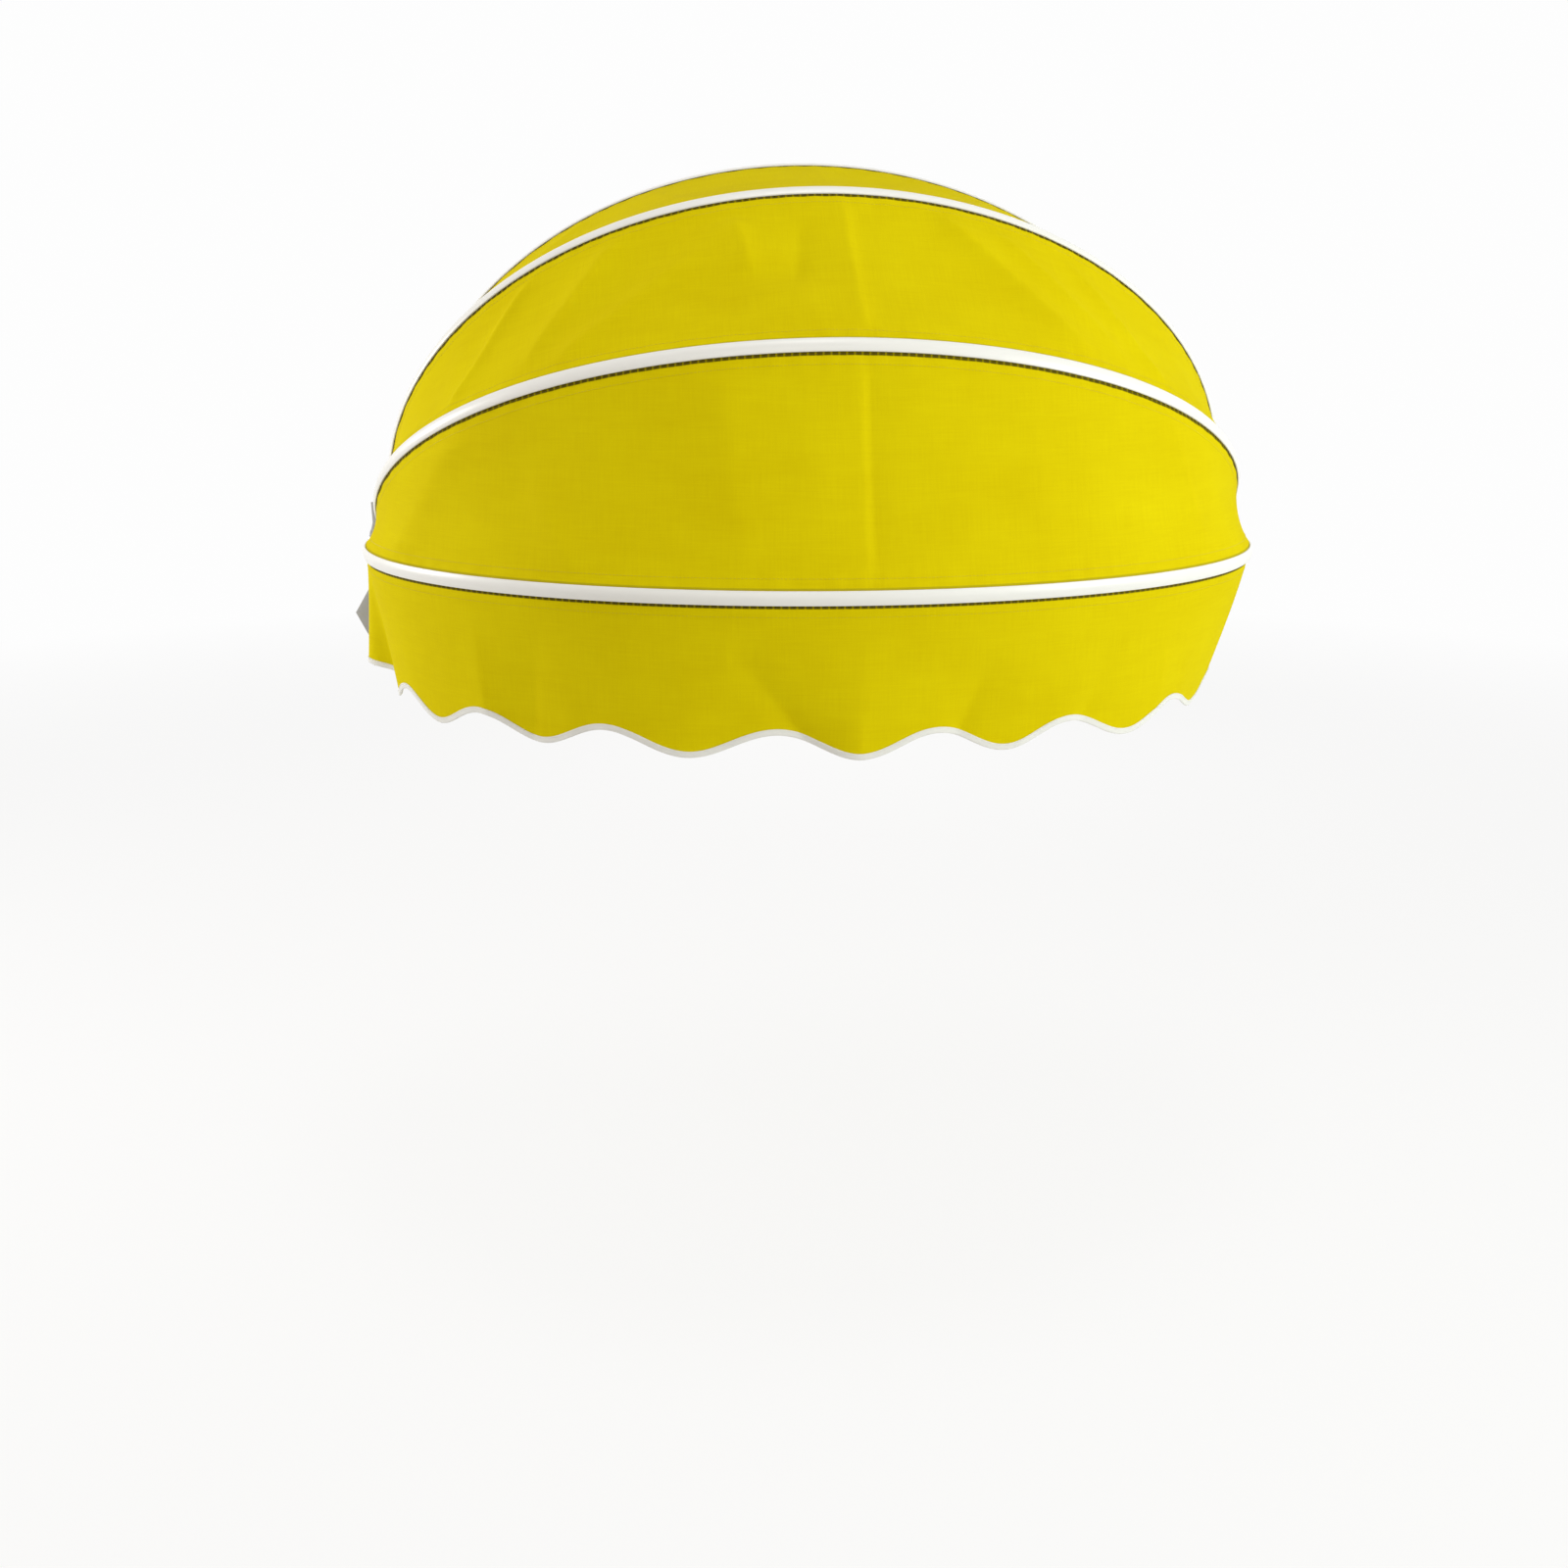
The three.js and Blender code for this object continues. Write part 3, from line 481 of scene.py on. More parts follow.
def fold(along, across, start, end, height, left, right):
    """A ridge, or a valley below 0, from one point of the cloth to another: it falls off over its widths."""
    start, end = np.array(start), np.array(end)
    length = np.linalg.norm(end - start)
    run_along, run_across = (end - start) / length
    from_along, from_across = along - start[0], across - start[1]
    share = (from_along * run_along + from_across * run_across) / length
    off = (from_along * run_across - from_across * run_along) * math.copysign(1, run_across)
    reach = np.where(off < 0, left, right)
    rounding = FOLD_ROUNDING * min(left, right)
    fade = 1 / (1 + np.exp(-FOLD_FADE * share)) / (1 + np.exp(FOLD_FADE * (share - 1)))
    return height * fade * np.exp(-(np.hypot(off, rounding) - rounding) / reach)


def folds(lines, along, across):
    """The relief of all the folds in a piece of cloth."""
    return sum(fold(along, across, *line) for line in lines)


# The folds of each piece of cloth: start, end, height, and the widths over which it falls off to
# the left and right. A start or end is metres along the cloth from its middle, then metres up from
# its lower edge or, in the valance, down from the bow.
FOLDS = {
    "lower": [
        ((-0.148, 0.27), (-0.114, -0.02), 0.0052, 0.08, 0.035),
        ((0.02, 0.27), (0.023, -0.03), -0.003, 0.0035, 0.026),
        ((-0.6, 0.0), (-0.47, 0.16), 0.008, 0.05, 0.06),
        ((-0.36, 0.1), (-0.3, 0.0), 0.0034, 0.03, 0.02),
        ((0.2, 0.26), (0.24, 0.0), 0.0034, 0.06, 0.05),
        ((0.42, 0.19), (0.48, 0.02), 0.005, 0.04, 0.03),
    ],
    "middle": [
        ((-0.375, 0.17), (-0.49, 0.0), 0.0066, 0.009, 0.015),
        ((-0.25, 0.2), (-0.36, 0.04), 0.0105, 0.026, 0.024),
        ((-0.16, 0.15), (-0.33, 0.01), 0.0078, 0.02, 0.024),
        ((-0.115, 0.2), (-0.1, 0.12), 0.009, 0.034, 0.02),
        ((-0.04, 0.19), (-0.05, 0.09), -0.004, 0.02, 0.02),
        ((0.012, 0.26), (0.022, -0.02), 0.0036, 0.04, 0.006),
        ((0.12, 0.22), (0.29, 0.02), 0.0105, 0.02, 0.04),
        ((0.2, 0.19), (0.34, 0.04), 0.0075, 0.013, 0.024),
        ((0.31, 0.16), (0.42, 0.0), 0.008, 0.013, 0.024),
        ((-0.05, 0.1), (-0.02, 0.0), 0.0045, 0.03, 0.03),
    ],
    "upper": [
        ((-0.4, 0.03), (-0.3, 0.2), 0.005, 0.02, 0.025),
        ((-0.22, 0.22), (-0.16, 0.03), 0.004, 0.03, 0.02),
        ((0.006, 0.26), (0.012, -0.02), 0.002, 0.03, 0.006),
        ((0.17, 0.03), (0.24, 0.2), 0.004, 0.025, 0.03),
        ((0.42, 0.03), (0.33, 0.2), 0.005, 0.02, 0.025),
    ],
    "valance": [
        ((-0.462, 0.0), (-0.44, 0.19), 0.007, 0.03, 0.02),
        ((-0.36, 0.03), (-0.38, 0.19), -0.004, 0.03, 0.02),
        ((-0.262, 0.0), (-0.25, 0.19), 0.004, 0.04, 0.03),
        ((-0.137, 0.02), (-0.138, 0.08), 0.002, 0.006, 0.005),
        ((-0.12, 0.07), (-0.03, 0.19), -0.0085, 0.028, 0.022),
        ((0.02, 0.0), (0.006, 0.19), 0.004, 0.025, 0.03),
        ((0.155, 0.08), (0.11, 0.19), -0.0085, 0.022, 0.028),
        ((0.21, 0.02), (0.2, 0.19), 0.002, 0.03, 0.03),
        ((0.325, 0.07), (0.27, 0.18), -0.0075, 0.022, 0.026),
        ((0.42, 0.03), (0.4, 0.19), 0.004, 0.02, 0.025),
    ],
}


def panel_relief(name, along, across, width):
    """How far the cloth stands out from its even sag, in metres."""
    share = across / width
    slack = 4 * share * (1 - share)
    seed = sum(map(ord, name))
    waves = ripples(seed, along, across, PANEL_RIPPLE_SIZE, PANEL_RIPPLE_SPREAD)
    held_at_edges = np.minimum(1, FOLD_EDGE_SLOPE * share * (1 - share))
    pucker = np.sin(2 * math.pi * along / PUCKER_PITCH + 2 * np.sin(PUCKER_DRIFT * along))
    near_edge = bump(share, PUCKER_PLACE, PUCKER_WIDTH) + bump(share, 1 - PUCKER_PLACE, PUCKER_WIDTH)
    relief = PANEL_RIPPLE * waves * slack + folds(FOLDS[name], along, across) * held_at_edges
    return relief + PUCKER * pucker * near_edge


def panel_start(lower, upper):
    """How far out from the pivot axis two bows leave the width of a panel's side edge."""
    half = (upper.angle - lower.angle) / 2
    return (PANEL_END_WIDTH / 2 + CLOTH_EXIT * math.cos(half)) / math.sin(half)


class Cloth:
    """The middle surface of a piece of cloth: places along it x shares of the way across it."""

    def __init__(self, grid, normals, shares):
        self.grid = grid
        self.normals = normals
        self.shares = shares
        self.width = np.linalg.norm(np.diff(grid, axis=1), axis=2).sum(1)

    def faces(self):
        """The outer and the inner face."""
        return self.grid + self.normals * CLOTH / 2, self.grid - self.normals * CLOTH / 2

    def row(self, distance, from_end=False):
        """Points, normals and shares along the cloth at a distance in from one edge."""
        share = np.minimum(distance / self.width, 0.5)
        share = 1 - share if from_end else share
        k = np.clip(np.searchsorted(self.shares, share) - 1, 0, len(self.shares) - 2)
        part = ((share - self.shares[k]) / (self.shares[k + 1] - self.shares[k]))[:, None]
        i = np.arange(len(share))
        line = self.grid[i, k] * (1 - part) + self.grid[i, k + 1] * part
        normals = unit(self.normals[i, k] * (1 - part) + self.normals[i, k + 1] * part)
        return line + normals * CLOTH / 2, normals, share


def panel_surface(name, lower, upper):
    """Places along a panel, its length and width at each, and its middle surface."""
    places = bow_places(panel_start(lower, upper), PANEL_STEPS)
    shares = (1 - np.cos(np.linspace(0, math.pi, PANEL_ROWS + 1))) / 2
    from_edge = lower.points(places, CLOTH_EXIT, 0)
    to_edge = upper.points(places, -CLOTH_EXIT, 0)
    span = to_edge - from_edge
    width = np.linalg.norm(span, axis=1)[:, None]
    grid = from_edge[:, None] + span[:, None] * shares[None, :, None]
    along = distances((from_edge + to_edge) / 2)[:, None]
    sag = np.minimum(PANEL_SAG, width / 10) * 4 * shares * (1 - shares)
    offset = panel_relief(name, along, width * shares, width) - sag
    grid = grid + surface_normals(grid) * offset[..., None]
    return places, along, width, Cloth(grid, surface_normals(grid), shares)


def panel(name, lower, upper):
    """Cloth between two bows with a bead in each bow's groove."""
    places, along, width, cloth = panel_surface(name, lower, upper)
    outer, inner = cloth.faces()
    lower_bead = bead_ring(lower, places, 1)
    upper_bead = bead_ring(upper, places, -1)
    rings = np.concatenate([outer, upper_bead, inner[:, ::-1], lower_bead[:, ::-1]], 1)
    made = sweep(f"{name}_panel_cloth", rings, CLOTH_SHARP_DEGREES)

    shares = cloth.shares
    across, under_bow = width * shares, width * (1 - shares)
    flat = np.stack([np.broadcast_to(along, across.shape), across, under_bow], -1)
    at_lower = np.repeat(flat[:, :1], BEAD_POINTS, 1)
    at_upper = np.repeat(flat[:, -1:], BEAD_POINTS, 1)
    set_point_values(made, np.concatenate([flat, at_upper, flat[:, ::-1], at_lower], 1))
    follow_swing(made)
    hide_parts(f"{name}_panel")

    area = float((width[:-1, 0] + width[1:, 0]) @ np.diff(along[:, 0]) / 2)
    return made, cloth


def follow_swing(made):
    """Bakes the cloth's placement into its mesh; the swing between the front and the rear bow is worked out
    but not used.
    """
    swing = bows["rear"].points(math.pi / 2, 0, 0) - bows["front"].points(math.pi / 2, 0, 0)
    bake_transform(made)


# Stitches

def stitches(line, normals, spacing, gap, radius, values=None):
    """Points, faces and values of a row of raised threads along a row of points."""
    along = distances(line)
    along = along - along[0]
    begin = np.arange(spacing, along[-1] - spacing, spacing)

    def sample(rows, at):
        return np.stack([np.interp(at, along, column) for column in rows.T], 1)

    starts, ends = sample(line, begin), sample(line, begin + spacing - gap)
    out = unit(sample(normals, begin))
    side = unit(np.cross(ends - starts, out))
    turns = np.linspace(0, 2 * math.pi, THREAD_SIDES, endpoint=False)
    rings = []
    for share, size, lift in THREAD_STATIONS:
        centre = starts + (ends - starts) * share + out * radius * lift
        rings += [centre + (side * math.cos(a) + out * math.sin(a)) * radius * size for a in turns]
    points = np.stack(rings, 1).reshape(-1, 3)
    pattern = ring_faces(len(THREAD_STATIONS), THREAD_SIDES)
    faces = [[i + STITCH_POINTS * k for i in face] for k in range(len(begin)) for face in pattern]
    kept = None if values is None else np.repeat(np.interp(begin, along, values), STITCH_POINTS)
    return points, faces, kept


def merged(runs):
    """One set of points, faces and values from several."""
    points, faces, values = [], [], []
    count = 0
    for run_points, run_faces, run_values in runs:
        faces += [[i + count for i in face] for face in run_faces]
        count += len(run_points)
        points.append(run_points)
        values.append(run_values)
    return np.concatenate(points), faces, np.concatenate(values)


def panel_stitches(name, cloth, rows, suffix):
    """Rows of stitches on a panel's outer face: each row is a distance in and which edge it is from."""
    runs = []
    for distance, from_upper in rows:
        line, normals, share = cloth.row(distance, from_upper)
        wide = cloth.width > 4 * distance
        follow = 1 - share[wide]
        run = stitches(line[wide], normals[wide], STITCH_PITCH, STITCH_GAP, THREAD_RADIUS, follow)
        runs.append(run)
    points, faces, follow = merged(runs)
    made = mesh_object(f"{name}_panel_{suffix}", points, faces)
    follow_swing(made)
    return made


# Valance

def hem_drop(along):
    """Depth of the hem below the front bow's middle plane, along it from its middle.

    The scallops drift along the hem, since the cloth isn't cut quite evenly."""
    drift = SCALLOP_DRIFT * np.cos(2 * math.pi * (along - SCALLOP_DRIFT_START) / SCALLOP_DRIFT_PITCH)
    turn = 2 * math.pi * (along - drift) / SCALLOP_WIDTH
    return VALANCE_DEPTH - SCALLOP_DEPTH * (0.5 - 0.5 * np.cos(turn))


def left_fold(from_left):
    """At the wall end on the left the cloth flares out, then folds in behind the front."""
    step = 0.5 + 0.5 * np.tanh((from_left - FOLD_PLACE) / FOLD_STEP)
    tucked = FOLD_IN * np.exp(-np.maximum(0, from_left - FOLD_PLACE) / FOLD_LENGTH)
    return FLARE_OUT * (1 - step) - tucked * step


def valance_waves(along, drop):
    """Long waves and finer ripples of the hanging cloth, in metres."""
    drift = 0.8 * np.sin(VALANCE_WAVE_DRIFT * along) + VALANCE_WAVE_START
    waves = np.sin(2 * math.pi * along / VALANCE_WAVE_PITCH + drift)
    fine = ripples(VALANCE_RIPPLE_SEED, along, drop, VALANCE_RIPPLE_SIZE, VALANCE_RIPPLE_SPREAD)
    return VALANCE_WAVE * waves + VALANCE_RIPPLE * fine


def valance_lean(along, drop):
    """How far out the valance stands from the bow's face: it hangs in, with soft waves and end folds."""
    deep = np.clip(drop / VALANCE_DEPTH, 0, 1.1) ** VALANCE_CURVE
    half = np.abs(along).max()
    from_left, from_right = half + along, half - along
    left_end = np.maximum(0, 1 - from_left / TUCK_LENGTH) ** 2
    right_end = np.maximum(0, 1 - from_right / TUCK_LENGTH) ** 2
    hang_in = VALANCE_LEAN + LEFT_TUCK * left_end + RIGHT_TUCK * right_end
    shape = valance_waves(along, drop) + left_fold(from_left) + folds(FOLDS["valance"], along, drop)
    return (shape - hang_in) * deep


def valance_surface():
    """Middle surface of the valance with its flat coordinates."""
    front = bows["front"]
    places = bow_places(VALANCE_START, VALANCE_STEPS)
    along = distances(front.points(places, -GROOVE_OFFSET, 0))[:, None]
    shares = np.linspace(0, 1, VALANCE_ROWS + 1) ** 0.9
    bottom = hem_drop(along) - BINDING
    drop = CLOTH_EXIT + (bottom - CLOTH_EXIT) * shares
    grid = front.points(places[:, None], -drop, valance_lean(along, drop))
    cloth = Cloth(grid, -surface_normals(grid), shares)
    return places, np.broadcast_to(along, drop.shape), drop, cloth


def valance(places, along, drop, cloth):
    """The hanging cloth with a bead in the front bow's lower groove."""
    outer, inner = cloth.faces()
    bead = bead_ring(bows["front"], places, -1)
    rings = np.concatenate([inner, outer[:, ::-1], bead], 1)
    made = sweep("valance_cloth", rings, CLOTH_SHARP_DEGREES)
    flat = np.stack([along, drop, drop - CLOTH_EXIT], -1)
    top = np.repeat(flat[:, :1], BEAD_POINTS, 1)
    set_point_values(made, np.concatenate([flat, flat[:, ::-1], top], 1))
    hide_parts("valance")
    return made


def binding_section():
    """Outline of the folded tape, as (height above the hem, distance from the cloth's middle)."""
    inside = CLOTH / 2 + BINDING_GAP
    outside = inside + BINDING
    high, mid = -BINDING_HEIGHT, -BINDING_HEIGHT * 0.5
    section = [(high, outside - BINDING_EASE), (mid, outside + BINDING_GAP), (-BINDING_FOLD, outside)]
    for turn in np.linspace(0.45, math.pi - 0.45, 6):
        section.append((BINDING_FOLD * math.sin(turn) - BINDING_EASE, outside * math.cos(turn)))
    section += [(-BINDING_FOLD, -outside), (mid, -outside - BINDING_GAP), (high, -outside + BINDING_EASE)]
    section += [(high, -inside), (-BINDING_EASE, -inside), (-BINDING_EASE, inside), (high, inside)]
    return np.array(section), outside


def binding(along, cloth):
    """White tape folded over the hem, with a row of stitches near its upper edge."""
    hem, normals = cloth.grid[:, -1], cloth.normals[:, -1]
    tangent = unit(np.gradient(hem, axis=0))
    down = unit(np.cross(normals, tangent))
    down = down * np.sign(-down[:, 2:3])
    section, outside = binding_section()
    rings = hem[:, None] + down[:, None] * section[None, :, :1] + normals[:, None] * section[None, :, 1:]
    made = sweep("hem_tape", rings, TAPE_SHARP_DEGREES)
    around = np.broadcast_to(section[None, :, 0], rings.shape[:2])
    reach = np.broadcast_to(along[:, -1:], rings.shape[:2])
    set_point_values(made, np.stack([reach, around, np.zeros_like(around)], -1))
    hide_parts("hem_binding")
    line = hem - down * BINDING_HEIGHT * 0.8 + normals * (outside + BINDING_GAP)
    points, faces, _ = stitches(line, normals, HEM_STITCH_PITCH, HEM_STITCH_GAP, HEM_THREAD_RADIUS)
    thread = mesh_object("hem_stitches", points, faces)
    return made, thread


def valance_stitches(name, cloth, distance, radius):
    """A row of stitches along the valance at a distance below the bow."""
    line, normals, _ = cloth.row(distance)
    points, faces, _ = stitches(line, normals, STITCH_PITCH, STITCH_GAP, radius)
    made = mesh_object(name, points, faces)
    return made


def hang(pieces):
    """The valance's pieces swing with the front bow, each with a mesh of its own."""
    for piece in pieces:
        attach(piece, "front")
        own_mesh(piece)


# Fittings

def turned_points(profile):
    """Points of a profile of (radius, along) pairs turned round Z: pairs x steps x 3."""
    turns = np.linspace(0, 2 * math.pi, ROUND_STEPS, endpoint=False)
    radius, along = np.array(profile, float).T[..., None]
    return np.stack(np.broadcast_arrays(radius * np.cos(turns), radius * np.sin(turns), along), -1)


def placed(made, matrix):
    """Moves a piece's mesh, so that the object itself stays at the origin."""
    made.data.transform(matrix)
    made.data.update()
    return made


def lathe(name, profile, matrix):
    """A turned piece along the matrix's Z, from a profile that runs from end to end."""
    return placed(sweep(name, turned_points(profile)), matrix)


def thread(first, second, start, end, half_turn):
    """Part of a turned profile whose radius goes back and forth between two, as a thread's edge does."""
    return [(second if k % 2 else first, along) for k, along in enumerate(np.arange(start, end, half_turn))]


def ring_solid(name, profile, matrix):
    """A turned ring along the matrix's Z, from a profile that closes on itself."""
    points = turned_points(profile).swapaxes(0, 1).reshape(-1, 3)
    faces = ring_faces(ROUND_STEPS, len(profile), True)
    return placed(mesh_object(name, points, faces), matrix)


def plate(name, outline, holes, thickness, bevel, matrix):
    """A flat piece with bevelled edges: outline and holes are (x, y) lists, thickness along Z from 0."""
    curve = bpy.data.curves.new(name, "CURVE")
    curve.dimensions = "2D"
    curve.fill_mode = "BOTH"
    for points in [outline, *holes]:
        spline = curve.splines.new("POLY")
        spline.points.add(len(points) - 1)
        spline.points.foreach_set("co", [v for x, y in points for v in (x, y, 0, 1)])
        spline.use_cyclic_u = True
    curve.extrude = thickness / 2 - bevel
    curve.bevel_depth = bevel
    curve.bevel_resolution = 2
    curve.offset = -bevel
    carrier = linked(name, curve)
    mesh = evaluated_mesh(carrier)
    bpy.data.objects.remove(carrier)
    bpy.data.curves.remove(curve)
    mesh.transform(matrix @ Matrix.Translation((0, 0, thickness / 2)))
    shade_smooth(mesh, PLATE_SHARP_DEGREES)
    mesh.update()
    return linked(name, mesh)


def arc(radius, turns):
    """Points round the origin at the given angles."""
    return [(radius * math.cos(a), radius * math.sin(a)) for a in turns]


def circle(radius):
    """A closed outline round the origin."""
    return arc(radius, np.linspace(0, 2 * math.pi, ROUND_STEPS, endpoint=False))


def join(name, pieces):
    """One object from several, kept as separate shells."""
    target = pieces[0]
    for piece in pieces[1:]:
        with bpy.context.temp_override(active_object=target, selected_editable_objects=[target, piece]):
            bpy.ops.object.join()
    target.name = name
    target.data.name = name
    return target


def knuckle(bow, side_name, side):
    """A moulded eye on the pivot bolt with the block that stops against the bow's cut end."""
    middle = side * (bow.half_width + (CROWN - TUBE_DEPTH) / 2)
    half = BOW_WIDTH / 2
    top = TUBE_START - SEAT_GAP
    block = [(half, KNUCKLE_SHOULDER), (half, top), (-half, top), (-half, KNUCKLE_SHOULDER)]
    outline = block + arc(KNUCKLE_RADIUS, np.linspace(math.pi, 2 * math.pi, 25))
    swing = Matrix.Rotation(math.pi - bow.angle, 4, "X")
    stand = Matrix(((0, 0, 1, middle - KNUCKLE / 2), (0, 1, 0, 0), (-1, 0, 0, 0), (0, 0, 0, 1)))
    at = Matrix.Translation(Vector(PIVOT)) @ swing @ stand
    name = f"{side_name}_{bow.name}_knuckle"
    made = plate(f"{name}_body", outline, [circle(BOLT_HOLE)], KNUCKLE, KNUCKLE_BEVEL, at)
    return stand_in(made, name, BODY_OF_BOW[bow.name])


def along_x(x, side):
    """Frame on the pivot axis with its Z outward along X on the given side."""
    return Matrix.Translation(Vector(PIVOT) + Vector((x, 0, 0))) @ Matrix.Rotation(side * math.pi / 2, 4, "Y")


def washer(name, spacer_name, side):
    """A flat spacer ring with eased outer edges."""
    low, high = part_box(name)
    thickness = high.x - low.x
    radius = (high.z - low.z) / 2
    start = low.x if side > 0 else high.x
    profile = [
        (BOLT_HOLE, 0),
        (radius - WASHER_BEVEL, 0),
        (radius, WASHER_BEVEL),
        (radius, thickness - WASHER_BEVEL),
        (radius - WASHER_BEVEL, thickness),
        (BOLT_HOLE, thickness),
    ]
    return stand_in(ring_solid(spacer_name, profile, along_x(start, side)), name, "root")


def pivot_bolt(side_name, side):
    """Round-headed bolt with a round socket, threaded where it comes out of its nut."""
    low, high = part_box(f"{side_name}_pivot_bolt")
    head_end, tail = (high.x, low.x) if side > 0 else (low.x, high.x)
    length = abs(head_end - tail)
    head_face = length - BOLT_HEAD_HEIGHT
    profile = [(0, 0), (BOLT_RADIUS - BOLT_CHAMFER, 0), (BOLT_RADIUS, BOLT_CHAMFER + 0.0001)]
    profile += thread(BOLT_RADIUS, BOLT_RADIUS - BOLT_THREAD_DEPTH, *BOLT_THREAD)
    profile += [(BOLT_RADIUS, BOLT_SHANK_START), (BOLT_RADIUS, head_face)]
    profile.append((BOLT_HEAD_RADIUS - TURNED_EASE, head_face))
    for turn in np.linspace(0.1, 1.45, 9):
        radius = BOLT_HEAD_RADIUS * math.cos(turn) ** 0.7
        profile.append((radius, head_face + BOLT_HEAD_HEIGHT * math.sin(turn)))
    profile.append((BOLT_SOCKET_RADIUS, length))
    profile.append((BOLT_SOCKET_RADIUS - TURNED_EASE, length - BOLT_SOCKET_DEPTH))
    profile.append((0, length - BOLT_SOCKET_DEPTH - TURNED_EASE))
    made = lathe(f"{side_name}_bolt_turned", profile, along_x(tail, side))
    return stand_in(made, f"{side_name}_pivot_bolt", "root")


def lock_nut(side_name, side):
    """A hexagon nut with the round collar of its locking insert."""
    low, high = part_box(f"{side_name}_lock_nut")
    start = low.x if side > 0 else high.x
    hexagon = arc(NUT_ACROSS_FLATS / math.sqrt(3), np.arange(6) * math.pi / 3)
    seat = along_x(start + side * NUT_COLLAR, side)
    body = plate("nut_body", hexagon, [circle(BOLT_HOLE)], NUT_HEIGHT, NUT_BEVEL, seat)
    profile = [
        (BOLT_HOLE, TURNED_EASE),
        (NUT_COLLAR_RADIUS - NUT_COLLAR_CHAMFER, 0),
        (NUT_COLLAR_RADIUS, NUT_COLLAR_SHOULDER),
        (NUT_COLLAR_RADIUS, NUT_COLLAR + 2 * TURNED_EASE),
        (BOLT_HOLE, NUT_COLLAR),
    ]
    collar = ring_solid("nut_collar", profile, along_x(start, side))
    made = join(f"{side_name}_nut_body", [body, collar])
    return stand_in(made, f"{side_name}_lock_nut", "root")


def dressed(node, name, bevel):
    """A grey metal solid's shape with its sharp edges rounded."""
    made = linked(name, frame["nodes"][node].data.copy())
    made.data.name = name
    weld = made.modifiers.new("weld", "WELD")
    weld.merge_threshold = 0.00002
    flat = made.modifiers.new("flat", "DECIMATE")
    flat.decimate_type = "DISSOLVE"
    flat.angle_limit = math.radians(1)
    edge = made.modifiers.new("edge", "BEVEL")
    edge.width = bevel
    edge.segments = 3
    edge.limit_method = "ANGLE"
    edge.angle_limit = math.radians(25)
    edge.use_clamp_overlap = True
    edge.harden_normals = True
    made.data.polygons.foreach_set("use_smooth", [True] * len(made.data.polygons))
    mesh = evaluated_mesh(made)
    made.modifiers.clear()
    made.data = mesh
    return stand_in(made, node, "root")


def outward_at(x):
    """Direction out of the rear bow's arch, in its plane, at a distance from the middle."""
    bow = bows["rear"]
    turn = math.acos(max(-1, min(1, -x / bow.half_width)))
    out = Vector((-bow.rise * math.cos(turn), 0, bow.half_width * math.sin(turn)))
    return out.normalized()


def clip_screw(node):
    """Pan-headed screw with a round dimple, pointing out of the arch."""
    low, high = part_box(node)
    centre = (low + high) / 2
    out = outward_at(centre.x)
    turn = out.to_track_quat("Z", "Y").to_matrix().to_4x4()
    grooved = thread(SCREW_CORE_RADIUS, SCREW_RADIUS, *SCREW_THREAD)
    profile = SCREW_DIMPLE + SCREW_HEAD + grooved + SCREW_TIP
    made = lathe(f"{node}_turned", profile, Matrix.Translation(centre - out * SCREW_LENGTH / 2) @ turn)
    return stand_in(made, node, "root")


# Shader maths

class Value:
    """A shader socket. An expression on it adds the Math nodes that work it out."""

    def __init__(self, nodes, socket):
        self.nodes = nodes
        self.socket = socket

    def _math(self, operation, *terms):
        inputs = dict(enumerate(terms))
        return self.nodes.add("ShaderNodeMath", {"operation": operation}, inputs).out(0)

    def __add__(self, other):
        return self._math("ADD", self, other)

    def __radd__(self, other):
        return self._math("ADD", other, self)

    def __sub__(self, other):
        return self._math("SUBTRACT", self, other)

    def __rsub__(self, other):
        return self._math("SUBTRACT", other, self)

    def __mul__(self, other):
        return self._math("MULTIPLY", self, other)

    def __rmul__(self, other):
        return self._math("MULTIPLY", other, self)

    def __truediv__(self, other):
        return self._math("DIVIDE", self, other)

    def __rtruediv__(self, other):
        return self._math("DIVIDE", other, self)

    def __abs__(self):
        return self._math("ABSOLUTE", self)

    def sine(self):
        return self._math("SINE", self)

    def above(self, edge):
        return self._math("GREATER_THAN", self, edge)

    def larger(self, other):
        return self._math("MAXIMUM", self, other)

    def clamped(self):
        return self._math("MINIMUM", self.larger(0.0), 1.0)


class Added:
    """A node that was just added, with its outputs by number or name."""

    def __init__(self, nodes, node):
        self.nodes = nodes
        self.node = node

    def out(self, output):
        return Value(self.nodes, self.node.outputs[output])


class Nodes:
    """The node tree of a material or of the world, being put together."""

    def __init__(self, owner):
        owner.use_nodes = True
        self.tree = owner.node_tree
        self.tree.nodes.clear()

    def add(self, kind, settings=None, inputs=None):
        """Adds a node, sets it up, then gives its sockets their values or links."""
        node = self.tree.nodes.new(kind)
        for name, value in (settings or {}).items():
            setattr(node, name, value)
        for name, value in (inputs or {}).items():
            if isinstance(value, Value):
                self.tree.links.new(value.socket, node.inputs[name])
            else:
                node.inputs[name].default_value = value
        return Added(self, node)

    def shared(self, factor, first, second):
        """A shader between two shaders."""
        return self.add("ShaderNodeMixShader", {}, {0: factor, 1: first, 2: second}).out("Shader")


